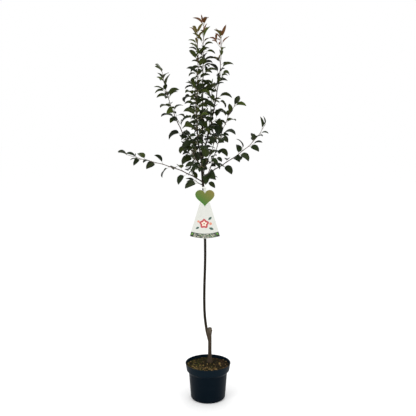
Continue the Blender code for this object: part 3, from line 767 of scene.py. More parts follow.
def dressLimbs():
    barks = (("uprightLimbs", True, youngBark(), 16), ("sideLimbs", False, sideBark(), 12))
    for name, isDark, material, sides in barks:
        chosen = [mass for mass in masses if (mass.stem.shoot.name in barkSizes["dark"]) == isDark]
        names = [mass.stem.shoot.name for mass in chosen]
        boughs = [f"bough_{name}" for name in names if f"bough_{name}" in nodes]
        piece = limbPaths(name, [wholeShoot(mass) for mass in chosen])
        runTree(piece, limbTree(material), sides=sides, relief=0.22, grainAcross=520.0, grainAlong=90.0)
        finishPiece(piece, "bark", *boughs, *[f"foliage_{name}" for name in names])
    twigs = [twig for mass in masses for twig in mass.twigs]
    stalks = [bentPetiole(leaf) for mass in masses for leaf in mass.leaves]
    wood = greenWood()
    for name, limbs, sides in (("twigs", twigs, 8), ("leafStalks", stalks, 6)):
        piece = limbPaths(name, limbs)
        runTree(piece, limbTree(wood), sides=sides, relief=0.15, grainAcross=400.0, grainAlong=200.0)
        finishPiece(piece, "foliage", *foliageNodes)


dressLimbs()


# Trunk: rootstock and graft run together, with bark relief

rootstockSizes = {
    "x": 0.010,
    "y": 0.038,
    "footRadius": 0.0155,
    "stubRadius": 0.0098,
    "knobRadius": 0.0128,
    "knobTop": 0.380,
    "knobMiddle": 0.368,      # height about which the knob's cap and lumps lie
    "knobReach": 0.016,
    "soilTop": 0.182,
    "flareReach": 0.02,
    "voxel": 0.0013,
    "ridge": 0.00034,         # heights of the relief
    "grain": 0.00014,
    "lump": 0.0020,
    "wart": 0.0010,
    "buttress": 0.0008,
}


def oldBark():  # dull dark bark, mauve-grey at the flare, with pale streaks and lenticels
    material, tree = newMaterial("oldPearBark", Roughness=0.78, Specular_IOR_Level=0.1)
    place = addNode(tree, "ShaderNodeTexCoord").outputs["Object"]
    height = addNode(tree, "ShaderNodeSeparateXYZ", (place,)).outputs["Z"]
    share = addNode(tree, "ShaderNodeMapRange", (height, 0.18, 0.48))
    tint = addNode(tree, "ShaderNodeValToRGB", {"Fac": share}, stops=(
        (0.0, "#5c4c3c"), (0.25, "#4c4034"), (0.55, "#564b3e"), (0.75, "#272014"), (1.0, "#18130a")))
    long = addNode(tree, "ShaderNodeMapping", {"Vector": place, "Scale": (420, 420, 26)})
    streaks = addNode(tree, "ShaderNodeTexNoise", {"Vector": long, "Scale": 1.0, "Detail": 5.0})
    pale = addNode(tree, "ShaderNodeMapRange", (streaks, 0.56, 0.72, 0.0, 0.65))
    fade = addNode(tree, "ShaderNodeMapRange", (share, 0.6, 1.0, 1.0, 0.35))
    faded = addNode(tree, "ShaderNodeMath", (pale, fade), operation="MULTIPLY")
    knob = addNode(tree, "ShaderNodeAttribute", attribute_name="knob").outputs["Fac"]
    fine = addNode(tree, "ShaderNodeTexNoise", {"Vector": place, "Scale": 700.0, "Detail": 4.0})
    both = addNode(tree, "ShaderNodeMath", (streaks, fine), operation="ADD")
    layers = ((knob, "#877c6c"), (faded, "#81776a"), (fine, "#1a150e"))
    return closeMaterial(material, tint, layers, both, 0.5, 0.0008)


def lenticelTree(material):  # small corky pores, each a flat grain lying on the bark
    tree, given = newTree("poresOnBark", {"Density": "Float", "Size": "Float", "Seed": "Int"})
    spread = addNode(tree, "GeometryNodeDistributePointsOnFaces", {
        "Mesh": given["Geometry"], "Density": given["Density"], "Seed": given["Seed"]})
    grain = addNode(tree, "GeometryNodeMeshIcoSphere", {"Radius": 0.5, "Subdivisions": 1})
    varied = addNode(tree, "FunctionNodeRandomValue", {2: 0.6, 3: 1.2, "Seed": given["Seed"]},
                     data_type="FLOAT")
    sized = addNode(tree, "ShaderNodeMath", (varied, given["Size"]), operation="MULTIPLY")
    flat = addNode(tree, "ShaderNodeVectorMath", {0: (1.0, 0.45, 0.25), "Scale": sized}, operation="SCALE")
    placed = addNode(tree, "GeometryNodeInstanceOnPoints", {
        "Points": spread, "Instance": grain, "Rotation": spread.outputs["Rotation"], "Scale": flat})
    return closeTree(tree, placed, material)


def corkPores():  # pale cork of the lenticels
    return newMaterial("lenticelCork", Base_Color="#6f5f4b", Roughness=0.85)[0]


def rootstockShell(base):  # the flared foot, the stub and its knob, turned round the rootstock's axis
    size = rootstockSizes
    knob, stub, foot = size["knobRadius"], size["stubRadius"], size["footRadius"]
    top, soil = size["knobTop"], size["soilTop"]
    profile = rounded([
        (0.0, top, 0), (0.75 * knob, top - 0.0005, 0.003), (knob, top - 0.009, 0.006),
        (knob, top - 0.022, 0.010), (stub, top - 0.040, 0.030), (stub, top - 0.130, 0.060),
        (1.1 * stub, soil + 0.035, 0.030), (0.88 * foot, soil + 0.012, 0.012),
        (foot, base, 0), (0.0, base, 0),
    ], 5)
    vertices, faces = turned(profile, 40)
    return [(x + size["x"], y + size["y"], z) for x, y, z in vertices], faces


def dressTrunk():
    size = rootstockSizes
    base = size["soilTop"] + shootSizes["gap"]
    vertices, faces = rootstockShell(base)
    steps = smoothThrough(scion.points, 3)
    first, sides = len(vertices), 24
    shell, quads = tubeShell(steps.points, [scionRadius(mark) for mark in steps.marks], sides)
    vertices += shell
    faces += [tuple(first + i for i in quad) for quad in quads]
    faces += [tuple(range(start, start + sides)) for start in (first, len(vertices) - sides)]
    piece = newObject("trunkBark", vertices, faces)
    turnOutwards(piece)
    remesh = piece.modifiers.new("Run together", "REMESH")
    remesh.mode = "VOXEL"
    remesh.voxel_size = size["voxel"]
    relax = piece.modifiers.new("Relax", "SMOOTH")
    relax.factor = 0.5
    relax.iterations = 3
    applyModifiers(piece)
    mesh = piece.data
    spots = [(vertex.co.copy(), vertex.normal.copy()) for vertex in mesh.vertices]
    moved, knobs = [], []
    for point, normal in spots:
        knob = math.exp(-((point.z - size["knobMiddle"]) / size["knobReach"]) ** 2)
        knob *= point.x > size["x"] - 0.012   # the rootstock's own side, not the scion beside it
        flare = math.exp(-(point.z - size["soilTop"]) / size["flareReach"])
        ridges = noise.noise(Vector((point.x * 330, point.y * 330, point.z * 30)))
        lumps = noise.noise(point * 160)
        angle = math.atan2(point.y - size["y"], point.x - size["x"])
        height = size["ridge"] * ridges + size["grain"] * noise.noise(point * 800)
        height += knob * (size["lump"] * lumps + size["wart"] * noise.noise(point * 420))
        height += size["buttress"] * flare * math.sin(5 * angle + 1.0)
        point = point + normal * height
        moved += (point.x, point.y, max(point.z, base))
        knobs.append(min(max(knob * (0.7 + 0.7 * lumps + 0.4 * ridges), 0.0), 1.0))
    mesh.vertices.foreach_set("co", moved)
    addAttribute(mesh, "knob", knobs)
    mesh.materials.append(oldBark())
    mesh.shade_smooth()
    pores = newObject("trunkPores", [], [])
    pores.data = mesh.copy()
    runTree(pores, lenticelTree(corkPores()), density=4200.0, size=0.0015, seed=4)
    finishPiece(piece, "bark", "trunk")
    finishPiece(pores, "bark", "trunk")


dressTrunk()


# Leaves: folded, arched blades in their own outline, joined by colour

bladeSizes = {
    "rows": (0.0, 0.06, 0.17, 0.31, 0.46, 0.61, 0.76, 0.90, 1.0),
    "columns": (-1.0, -0.5, 0.0, 0.5, 1.0),   # of the upper side; the underside has only margins and rib
    "tooth": 0.025,           # each second row stands out by this share
    "least": 0.0006,          # half the width where the blade meets its stalk
    "rib": 0.0005,            # depth of the midrib under the blade
    "wave": 0.020,            # waviness of the margin, as a share of the length
    "young": 0.64,            # width of the youngest leaves, as a share of what the rule gives them
    "grown": 0.25,            # age from which a leaf has its whole width
    "flat": 0.5,              # leaves low down and on open shoots are opened out by this share of the fold
    "lowBelow": 1.52,
    "fade": 0.1,              # height over which low turns to high
    "roll": (0.0, 0.4),       # radians by which a leaf leans over sideways
    "rollOpen": (0.3, 0.85),
    "frontUntil": 0.25,       # a leaf that heads less far back than this leans towards the front
    "smallShare": 0.45,       # of the leaves low down, inside the crown
    "smallScale": 0.7,
    "slim": 0.12,             # the young leaves high up are narrower and more folded by this share
    "slimAbove": 1.76,
    "openScale": 1.22,
    "openWidth": 1.15,
    "open": ("lower_left", "lower_right", "upper_left", "thin_right"),
    "tries": (                # scale and lean of a leaf that would leave its space or meet another
        (1.0, 1.0), (1.0, 0.5), (1.0, 0.0), (0.85, 0.5), (0.85, 0.0), (0.7, 0.5), (0.7, 0.0), (0.5, 0.0)),
}


def bladeWidth(along):  # broadest at two fifths, with a drawn-out tip
    return max(math.sin(math.pi * along**0.72), 0.0) ** 0.85


def between(value):
    return min(max(value, 0.0), 1.0)


def blade(leaf, scale, lean, isOpen, dice):  # vertices, faces and (across, along, under) of one leaf
    size = bladeSizes
    vertices, places, faces = [], [], []
    middle = leaf.root + leaf.heading * leaf.petiole
    low = 1.0 if isOpen else between((size["lowBelow"] - leaf.root.z) / size["fade"])
    if low and not isOpen and dice.random() < size["smallShare"]:
        scale *= size["smallScale"]
    slim = size["slim"] * between((leaf.root.z - size["slimAbove"]) / size["fade"])
    length = leaf.length * scale
    young = size["young"] + (1 - size["young"]) * min(leaf.age / size["grown"], 1.0)
    width = leaf.width * scale * young * (1 - slim) * (size["openWidth"] if isOpen else 1.0)
    lying = abs(leaf.side.cross(leaf.heading).z)
    roll = dice.uniform(*size["rollOpen" if isOpen else "roll"]) * lying * lean
    towards = -1 if leaf.heading.y < size["frontUntil"] else 1
    phase, wave = dice.uniform(0, math.tau), dice.uniform(0.3, 1.0) * size["wave"] * length
    fold = leafSizes["fold"] * dice.uniform(0.8, 1.1) * (1 - size["flat"] * low + slim)
    rows, columns = size["rows"], size["columns"]
    before = 0.0
    for r, along in enumerate(rows):
        bend = Quaternion(leaf.side, -leaf.droop * (before + along) / 2)
        middle = middle + (bend @ leaf.heading) * length * (along - before)
        before = along
        if r == len(rows) - 1:
            vertices.append(middle)
            places.append((0.0, along, 0.0))
            break
        tangent = Quaternion(leaf.side, -leaf.droop * along) @ leaf.heading
        normal = leaf.side.cross(tangent)
        turn = Quaternion(tangent, math.copysign(roll, tangent.cross(normal).y * towards))
        side, normal = turn @ leaf.side, turn @ normal
        half = max(width / 2 * bladeWidth(along) * (1 + size["tooth"] * (-1) ** r), size["least"])
        for across in columns:
            spot = middle + side * half * across * math.cos(fold)
            spot += normal * half * abs(across) ** 0.9 * math.sin(fold)
            spot += normal * wave * abs(across) * math.sin(5 * along + phase + across) * bladeWidth(along)
            vertices.append(spot)
            places.append((across, along, 0.0))
        vertices.append(middle - normal * size["rib"])
        places.append((0.0, along, 1.0))
    wide = len(columns)
    ring = wide + 1
    top, below = list(range(wide)), [0, wide, wide - 1]
    for r in range(len(rows) - 2):  # each quad starts where both sides split it along the same diagonal
        a, b = r * ring, (r + 1) * ring
        faces += [(a + k, a + l, b + l, b + k) for k, l in zip(top, top[1:])]
        faces += [(a + k, b + k, b + l, a + l) for k, l in zip(below, below[1:])]
    a, tip = (len(rows) - 2) * ring, len(vertices) - 1
    faces += [(a + k, a + l, tip) for k, l in zip(top, top[1:])]
    faces += [(a + l, a + k, tip) for k, l in zip(below, below[1:])]
    faces.append((*below, *reversed(top[1:-1])))
    return vertices, faces, places


def fittedBlade(name, leaf, dice, taken):  # as broad as stays in the solid's reach, clear of limbs and leaves
    low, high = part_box(f"foliage_{name}")
    state = dice.getstate()
    isOpen = name in bladeSizes["open"]
    for scale, lean in ((bladeSizes["openScale"] if isOpen else 1.0, 1.0), *bladeSizes["tries"]):
        dice.setstate(state)
        made = blade(leaf, scale, lean, isOpen, dice)
        shape = BVHTree.FromPolygons(made[0], made[1])
        inside = all(low[k] <= corner[k] <= high[k] for corner in made[0] for k in range(3))
        if inside and not any(shape.overlap(other) for other in taken):
            break
    taken.append(shape)
    return made


def leafSkin(name, dark, light, under, rough):  # waxy pear leaf: a paler midrib, faint veins, dull underside
    material, tree = newMaterial(name, Roughness=rough, Specular_IOR_Level=0.12)
    data = addNode(tree, "ShaderNodeAttribute", attribute_name="bladePlace").outputs["Vector"]
    parts = addNode(tree, "ShaderNodeSeparateXYZ", (data,)).outputs
    tone = addNode(tree, "ShaderNodeAttribute", attribute_name="tone").outputs["Fac"]
    place = addNode(tree, "ShaderNodeTexCoord").outputs["Object"]
    patches = addNode(tree, "ShaderNodeTexNoise", {"Vector": place, "Scale": 60.0, "Detail": 2.0})
    both = addNode(tree, "ShaderNodeMath", (tone, patches), operation="ADD")
    share = addNode(tree, "ShaderNodeMapRange", (both, 0.4, 1.5))
    aside = addNode(tree, "ShaderNodeMath", (parts["X"],), operation="ABSOLUTE")
    rib = addNode(tree, "ShaderNodeMapRange", (aside, 0.03, 0.12, 0.45, 0.0))
    turnedDown = addNode(tree, "ShaderNodeMath", (parts["Z"], 0.75), operation="MULTIPLY")
    slant = addNode(tree, "ShaderNodeMath", {0: aside, 1: -0.35, 2: parts["Y"]}, operation="MULTIPLY_ADD")
    veins = addNode(tree, "ShaderNodeMath", (slant, 55.0), operation="MULTIPLY")
    wave = addNode(tree, "ShaderNodeMath", (veins,), operation="SINE")
    layers = ((share, light), (rib, under), (turnedDown, under))
    return closeMaterial(material, dark, layers, wave, 0.12, 0.0004)


leafColours = {  # kind: darker and lighter upper side, underside, roughness
    "leavesDeep": ("#0b1103", "#182307", "#2c3512", 0.52),
    "leavesGreen": ("#182107", "#323d0e", "#3e461b", 0.52),
    "leavesLight": ("#26310a", "#455318", "#4d5524", 0.50),
    "leavesBlueGreen": ("#0e1707", "#1f2c0f", "#333d20", 0.54),
    "leavesOlive": ("#38330f", "#5f531c", "#5f5326", 0.46),
    "leavesBronze": ("#46210b", "#78451b", "#6c4d28", 0.46),
}
crownColours = {  # kinds with the share of the leaves up to which each is dealt, lowest first
    "low": (("leavesBlueGreen", 0.55), ("leavesDeep", 0.85), ("leavesGreen", 1.0)),
    "high": (("leavesDeep", 0.42), ("leavesGreen", 0.88), ("leavesLight", 1.0)),
    "olive": (("leavesOlive", 0.45), ("leavesLight", 1.0)),
    "lowBelow": 1.48,
}
tipColours = {  # heights where bronze and olive begin, and how much of the tip is bronze
    "left_leader": (1.90, 1.84, 0.4), "centre_leader": (1.93, 1.88, 0.55), "right_leader": (1.86, 1.80, 0.9),
}


def leafKind(mass, leaf, dice):  # bronze at the leaders' tips, olive under that, bluish low down
    draw = dice.random()
    height = leaf.root.z
    bronze, olive, most = tipColours.get(mass.stem.shoot.name, (math.inf, math.inf, 0.0))
    zone = "low" if height < crownColours["lowBelow"] else "olive" if height > olive else "high"
    kinds = crownColours[zone]
    if height > bronze:
        kinds = (("leavesBronze", most), ("leavesOlive", 1.0))
    return next(kind for kind, share in kinds if draw < share)


def dressLeaves():
    dice = random.Random(77)
    joined = {kind: ([], [], [], []) for kind in leafColours}
    taken = []
    for name in ("uprightLimbs", "sideLimbs", "twigs", "trunkBark"):
        taken.append(BVHTree.FromPolygons(*facesOf(bpy.data.objects[name])))
    for mass in masses:
        for leaf in mass.leaves:
            vertices, faces, places, tones = joined[leafKind(mass, leaf, dice)]
            first = len(vertices)
            corners, quads, spots = fittedBlade(mass.stem.shoot.name, leaf, dice, taken)
            vertices += corners
            faces += [tuple(first + i for i in quad) for quad in quads]
            places += spots
            tones += [dice.random()] * len(corners)
    for kind, (vertices, faces, places, tones) in joined.items():
        piece = newObject(kind, vertices, faces, leafSkin(kind, *leafColours[kind]))
        addAttribute(piece.data, "bladePlace", places, "FLOAT_VECTOR")
        addAttribute(piece.data, "tone", tones)
        piece.data.set_sharp_from_angle(angle=math.radians(95))
        finishPiece(piece, "foliage", *foliageNodes)


dressLeaves()


# Buds at the nodes and tips, set by Geometry Nodes

budSizes = {
    "length": 0.0042,
    "radius": 0.0011,
    "sides": 8,
    "fullness": 0.7,          # by which the middle stands out past the cone
    "sunk": 0.8,              # where its foot is on the limb, as a share of the limb's radius
    "above": 0.0012,          # the node
    "tipSunk": 0.0006,
}


def budTree(material):
    tree, given = newTree("budsAtNodes", {
        "Sides": "Int", "Length": "Float", "Radius": "Float", "Fullness": "Float"})
    cone = addNode(tree, "GeometryNodeMeshCone", {
        "Vertices": given["Sides"], "Side Segments": 4, "Radius Top": 0.00005,
        "Radius Bottom": given["Radius"], "Depth": given["Length"]})
    place = addNode(tree, "GeometryNodeInputPosition")
    height = addNode(tree, "ShaderNodeSeparateXYZ", (place,)).outputs["Z"]
    share = addNode(tree, "ShaderNodeMath", (height, given["Length"]), operation="DIVIDE")
    belly = addNode(tree, "ShaderNodeMath", (share, math.pi), operation="MULTIPLY")
    sine = addNode(tree, "ShaderNodeMath", (belly,), operation="SINE")
    width = addNode(tree, "ShaderNodeMath", (sine, given["Fullness"], 1.0), operation="MULTIPLY_ADD")
    scale = addNode(tree, "ShaderNodeCombineXYZ", {"X": width, "Y": width, "Z": 1.0})
    fuller = addNode(tree, "ShaderNodeVectorMath", (place, scale), operation="MULTIPLY")
    bud = addNode(tree, "GeometryNodeSetPosition", {"Geometry": cone, "Position": fuller})
    aim = addNode(tree, "GeometryNodeInputNamedAttribute", {"Name": "aim"}, data_type="FLOAT_VECTOR")
    turn = addNode(tree, "FunctionNodeAlignRotationToVector", {"Vector": aim}, axis="Z")
    points = addNode(tree, "GeometryNodeMeshToPoints", {"Mesh": given["Geometry"]})
    placed = addNode(tree, "GeometryNodeInstanceOnPoints", {
        "Points": points, "Instance": bud, "Rotation": turn})
    return closeTree(tree, addNode(tree, "GeometryNodeSetShadeSmooth", {"Geometry": placed}), material)


def budScales():  # reddish-brown scales of winter buds
    return newMaterial("budScales", Base_Color="#5a3a28", Roughness=0.55)[0]


def dressBuds():
    size = budSizes
    places, aims = [], []
    for mass in masses:
        stem = mass.stem
        for index, tangent, turn, share in stem.nodes:
            outward = outwardAt(stem.path, tangent, turn)
            foot = stem.points[index] + outward * stem.radii[index] * size["sunk"]
            places.append(foot + tangent * size["above"])
            aims.append((tangent + 0.6 * outward).normalized())
        tip, tangent = stem.path.at(stem.path.length)
        places.append(tip - tangent * size["tipSunk"])
        aims.append(tangent)
    piece = newObject("buds", places, [])
    addAttribute(piece.data, "aim", aims, "FLOAT_VECTOR")
    runTree(piece, budTree(budScales()), **size)
    finishPiece(piece, "foliage", *foliageNodes)


dressBuds()


# Pot: thin moulded plastic with a deep collar

potSizes = {
    "height": 0.197,
    "wall": 0.002,
    "rimRadius": 0.122,
    "collar": 0.038,
    "collarFoot": 0.116,
    "step": 0.013,
    "bodyRadius": 0.104,
    "baseRadius": 0.093,
    "baseRounding": 0.012,
    "footRing": 0.012,
    "recess": 0.003,
    "pad": 0.030,
    "drainHoles": 8,
    "drainRadius": 0.005,
    "sides": 144,
}


def mouldedPlastic():  # recycled polypropylene, navy-black, satin, with faint flow lines and dust; the collar is painted a lighter navy as painted light
    material, tree = newMaterial("mouldedPolypropylene", Specular_IOR_Level=0.04)
    place = addNode(tree, "ShaderNodeTexCoord").outputs["Object"]
    long = addNode(tree, "ShaderNodeMapping", {"Vector": place, "Scale": (95, 95, 5)})
    flow = addNode(tree, "ShaderNodeTexNoise", {"Vector": long, "Scale": 1.0, "Detail": 3.0})
    dusty = addNode(tree, "ShaderNodeTexNoise", {"Vector": place, "Scale": 38.0, "Detail": 6.0})
    height = addNode(tree, "ShaderNodeSeparateXYZ", (place,)).outputs["Z"]
    # painted light: the collar and the step under it are painted a lighter navy than the body, for the light
    # they catch
    collar = addNode(tree, "ShaderNodeMapRange", (height, 0.145, 0.165))
    dust = addNode(tree, "ShaderNodeMapRange", (dusty, 0.5, 0.8, 0.0, 0.2))
    dull = addNode(tree, "ShaderNodeMapRange", (flow, 0.3, 0.7, 0.36, 0.52))
    feed(tree.nodes["Principled BSDF"], {"Roughness": dull})
    skin = addNode(tree, "ShaderNodeTexNoise", {"Vector": place, "Scale": 1400.0, "Detail": 2.0})
    both = addNode(tree, "ShaderNodeMath", (flow, 3.0, skin), operation="MULTIPLY_ADD")
    # the collar's lighter navy is painted light; the dust is real dust
    return closeMaterial(material, "#020d16", ((collar, "#07151e"), (dust, "#101b22")), both, 0.12, 0.0006)


def drilled(piece, places, radius):  # the piece with a round hole cut through it at each place
    cutters = bpy.data.collections.new("drainCutters")
    bpy.context.scene.collection.children.link(cutters)
    for place in places:
        bpy.ops.mesh.primitive_cylinder_add(vertices=24, radius=radius, depth=0.03, location=place)
        cutter = bpy.context.object
        for owner in list(cutter.users_collection):
            owner.objects.unlink(cutter)
        cutters.objects.link(cutter)
    cut = piece.modifiers.new("Drain holes", "BOOLEAN")
    cut.operation = "DIFFERENCE"
    cut.operand_type = "COLLECTION"
    cut.collection = cutters
    applyModifiers(piece)
    for cutter in list(cutters.objects):
        bpy.data.objects.remove(cutter)
    bpy.data.collections.remove(cutters)


def dressPot():
    size = potSizes
    wall, recess, height, rim = size["wall"], size["recess"], size["height"], size["rimRadius"]
    collarFoot, body, base, pad = size["collarFoot"], size["bodyRadius"], size["baseRadius"], size["pad"]
    floor = recess + wall
    stepTop = height - size["collar"]
    stepFoot = stepTop - size["step"]
    ring = base - size["baseRounding"] - size["footRing"]
    profile = rounded([
        (0.0, floor, 0), (base - 0.008, floor, 0.006), (body - wall, stepFoot, 0.006),
        (collarFoot - wall, stepTop, 0.005), (rim - wall - 0.0006, height - 0.004, 0.002),
        (rim - wall, height, 0.0007), (rim, height, 0.0008), (rim, height - 0.0035, 0.0006),
        (rim - 0.0012, height - 0.0045, 0.0006), (collarFoot, stepTop, 0.0025), (body, stepFoot, 0.006),
        (base, 0.0, size["baseRounding"]), (ring, 0.0, 0.001), (ring - recess, recess, 0.001),
        (pad + recess, recess, 0.001), (pad, 0.0, 0.001), (0.0, 0.0, 0),
    ], 6)
    piece = newObject("potShell", *turned(profile, size["sides"]))
    turnOutwards(piece)
    drilled(piece, ringAt((pad + ring) / 2, 0.0, size["drainHoles"]), size["drainRadius"])
    mesh = piece.data
    mesh.materials.clear()
    mesh.materials.append(mouldedPlastic())
    mesh.shade_smooth()
    mesh.set_sharp_from_angle(angle=math.radians(35))
    finishPiece(piece, "pot", "pot")


dressPot()


# Soil: lumpy compost with crumbs, chips of bark and moss

soilSizes = {
    "top": 0.182,
    "rings": 70,
    "sides": 160,
    "clear": 0.0004,          # between the compost and the pot's inside
    "depth": 0.018,           # from the rim to where the compost meets the collar's inside
    "lump": 0.0035,
    "mound": 0.003,           # against the foot of the trunk
    "moundReach": 0.012,
    "mossSide": -0.2,         # moss grows most on the left and in front
}
crumbShape = ("GeometryNodeMeshIcoSphere", {"Radius": 0.5, "Subdivisions": 1})
chipShape = ("GeometryNodeMeshCube", {"Size": (1, 1, 1), "Vertices X": 4, "Vertices Y": 3, "Vertices Z": 2})
soilMatter = {  # density per square metre, smallest and largest piece, and an attribute for where it lies
    "compostCrumbs": {
        "finish": ("peatCrumbs", "#070503", "#53441f", 0.95), "shape": crumbShape, "density": 70000.0,
        "smallest": (0.0012, 0.0012, 0.0008), "largest": (0.0045, 0.004, 0.0028),
        "tilt": 3.1, "roughen": 0.0012, "mask": "free"},
    "barkChips": {
        "finish": ("pineBarkChips", "#241b0e", "#b3935c", 0.85), "shape": chipShape, "density": 8500.0,
        "smallest": (0.006, 0.004, 0.0008), "largest": (0.016, 0.009, 0.0024),
        "tilt": 0.5, "roughen": 0.0018, "mask": "chips"},
    "redBarkBits": {
        "finish": ("redBarkBits", "#1c0e0a", "#5f3424", 0.85), "shape": chipShape, "density": 9000.0,
        "smallest": (0.003, 0.002, 0.0008), "largest": (0.009, 0.005, 0.0018),
        "tilt": 0.6, "roughen": 0.0014, "mask": "red"},
    "mossTufts": {
        "finish": ("cushionMoss", "#23270d", "#989a45", 0.95), "shape": crumbShape, "density": 210000.0,
        "smallest": (0.0009, 0.0009, 0.0009), "largest": (0.0026, 0.0026, 0.0024),
        "tilt": 3.1, "roughen": 0.0010, "mask": "moss"},
}


def compost():  # damp dark peat, with brown and green cast in patches
    material, tree = newMaterial("dampCompost", Roughness=0.9, Specular_IOR_Level=0.1)
    place = addNode(tree, "ShaderNodeTexCoord").outputs["Object"]
    broad = addNode(tree, "ShaderNodeTexNoise", {"Vector": place, "Scale": 70.0, "Detail": 4.0})
    tint = addNode(tree, "ShaderNodeValToRGB", {"Fac": broad}, stops=(
        (0.0, "#080704"), (0.45, "#110e08"), (0.62, "#1c1a0b"), (1.0, "#302616")))
    fine = addNode(tree, "ShaderNodeTexNoise", {"Vector": place, "Scale": 900.0, "Detail": 5.0})
    return closeMaterial(material, tint, (), fine, 0.8, 0.001)


def scatterMatter(name, dark, light, rough):  # one kind of matter on the soil, each piece in its own tone
    material, tree = newMaterial(name, Roughness=rough, Specular_IOR_Level=0.1)
    tone = addNode(tree, "ShaderNodeAttribute", attribute_name="tone").outputs["Fac"]
    place = addNode(tree, "ShaderNodeTexCoord").outputs["Object"]
    fine = addNode(tree, "ShaderNodeTexNoise", {"Vector": place, "Scale": 500.0, "Detail": 3.0})
    both = addNode(tree, "ShaderNodeMath", (tone, fine), operation="MULTIPLY")
    return closeMaterial(material, dark, ((both, light),), fine, 0.5, 0.0005)


def scatterTree(name, material, shapeKind, shapeInputs):
    tree, given = newTree(name, {
        "Density": "Float", "Smallest": "Vector", "Largest": "Vector", "Tilt": "Float", "Roughen": "Float",
        "Mask": "String", "Seed": "Int"})
    seed = given["Seed"]
    mask = addNode(tree, "GeometryNodeInputNamedAttribute", {"Name": given["Mask"]}, data_type="FLOAT")
    thick = addNode(tree, "ShaderNodeMath", (mask, given["Density"]), operation="MULTIPLY")
    spread = addNode(tree, "GeometryNodeDistributePointsOnFaces", {
        "Mesh": given["Geometry"], "Density": thick, "Seed": seed})
    tone = addNode(tree, "FunctionNodeRandomValue", {"Seed": seed}, data_type="FLOAT")
    toned = addNode(tree, "GeometryNodeStoreNamedAttribute", {
        "Geometry": spread, "Name": "tone", "Value": tone}, data_type="FLOAT", domain="POINT")
    shape = addNode(tree, shapeKind, shapeInputs)
    low = addNode(tree, "ShaderNodeMath", (given["Tilt"], -1.0), operation="MULTIPLY")
    least = addNode(tree, "ShaderNodeCombineXYZ", {"X": low, "Y": low, "Z": 0.0})
    most = addNode(tree, "ShaderNodeCombineXYZ", {"X": given["Tilt"], "Y": given["Tilt"], "Z": math.tau})
    turn = addNode(tree, "FunctionNodeRandomValue", {0: least, 1: most, "Seed": seed},
                   data_type="FLOAT_VECTOR")
    size = addNode(tree, "FunctionNodeRandomValue", {
        0: given["Smallest"], 1: given["Largest"], "Seed": seed}, data_type="FLOAT_VECTOR")
    placed = addNode(tree, "GeometryNodeInstanceOnPoints", {
        "Points": toned, "Instance": shape, "Rotation": turn, "Scale": size})
    real = addNode(tree, "GeometryNodeRealizeInstances", {"Geometry": placed})
    place = addNode(tree, "GeometryNodeInputPosition")
    rough = addNode(tree, "ShaderNodeTexNoise", {"Vector": place, "Scale": 260.0, "Detail": 1.0})
    centred = addNode(tree, "ShaderNodeVectorMath", (rough.outputs["Color"], (0.5, 0.5, 0.5)),
                      operation="SUBTRACT")
    push = addNode(tree, "ShaderNodeVectorMath", {0: centred, "Scale": given["Roughen"]}, operation="SCALE")
    bent = addNode(tree, "GeometryNodeSetPosition", {"Geometry": real, "Offset": push})
    return closeTree(tree, bent, material)


def soilHeight(x, y):
    size = soilSizes
    spot = Vector((x, y, 0.0))
    height = size["lump"] * (noise.noise(spot * 45) * 0.7 + noise.noise(spot * 150) * 0.35)
    trunk = math.hypot(x - rootstockSizes["x"], y - rootstockSizes["y"])
    height += size["mound"] * math.exp(-max(trunk - rootstockSizes["footRadius"], 0) / size["moundReach"])
    return size["top"] - 0.001 + height


def soilShare(spots, reach):  # where nothing stands in the way, and how much moss and bark lies at each spot
    x, y = spots[:, 0] / reach, spots[:, 1] / reach
    away = np.hypot(spots[:, 0], spots[:, 1])
    trunk = np.hypot(spots[:, 0] - rootstockSizes["x"], spots[:, 1] - rootstockSizes["y"])
    free = (away < reach - 0.005) & (trunk > rootstockSizes["footRadius"] + 0.003)
    patch = np.array([noise.noise(Vector((spot[0] * 28, spot[1] * 28, 3.0))) for spot in spots])
    clumps = np.array([noise.noise(Vector((spot[0] * 90, spot[1] * 90, 8.0))) > 0.08 for spot in spots])
    return {
        "free": free,
        "moss": np.clip(patch * 1.6 + 0.75 - (x - soilSizes["mossSide"]), 0, 1) * free * clumps,
        "chips": np.clip(0.45 - y + 0.5 * patch, 0.1, 1) * free,
        "red": np.clip((x - 0.1) * 2 + patch, 0.05, 1) * free,
    }


def dressSoil():
    size = soilSizes
    rings, sides, wall = size["rings"], size["sides"], potSizes["wall"]
    collarFoot, collar = potSizes["collarFoot"], potSizes["collar"]
    reach = collarFoot - wall - size["clear"]
    reach += (potSizes["rimRadius"] - collarFoot) * (collar - size["depth"]) / collar
    vertices, faces = [(0, 0, soilHeight(0, 0))], []

    def addRing(inner, radius, height=None):  # one more ring of points, and the quads to it from the last
        outer = len(vertices)
        places = ringAt(radius, height, sides)
        vertices.extend((x, y, soilHeight(x, y)) if z is None else (x, y, z) for x, y, z in places)
        for i in range(sides if inner else 0):
            j = (i + 1) % sides
            faces.append((inner + i, outer + i, outer + j, inner + j))
        return outer

    faces += [(0, 1 + i, 1 + (i + 1) % sides) for i in range(sides)]
    rim = 0
    for r in range(1, rings + 1):
        rim = addRing(rim, reach * r / rings)
    top = newObject("soilTop", vertices, faces)
    for name, values in soilShare(np.array(vertices), reach).items():
        addAttribute(top.data, name, values)
    for seed, (name, matter) in enumerate(soilMatter.items(), 11):
        piece = newObject(name, [], [])
        piece.data = top.data.copy()
        tree = scatterTree(name, scatterMatter(*matter["finish"]), *matter["shape"])
        runTree(piece, tree, seed=seed, **matter)
        finishPiece(piece, "soil", "soil")
    bpy.data.objects.remove(top)
    stepTop = potSizes["height"] - collar
    inner = potSizes["bodyRadius"] - wall - 0.001
    rim = addRing(rim, collarFoot - wall - 0.001, stepTop + 0.001)
    rim = addRing(rim, inner, stepTop - potSizes["step"])
    rim = addRing(rim, inner - 0.002, stepTop - 0.05)
    faces.append(tuple(reversed(range(rim, rim + sides))))
    finishPiece(newObject("soilBody", vertices, faces, compost()), "soil", "soil")


dressSoil()


# Tag: a printed plastic fan with a heart, hung by a strap; its print is a plain generic one

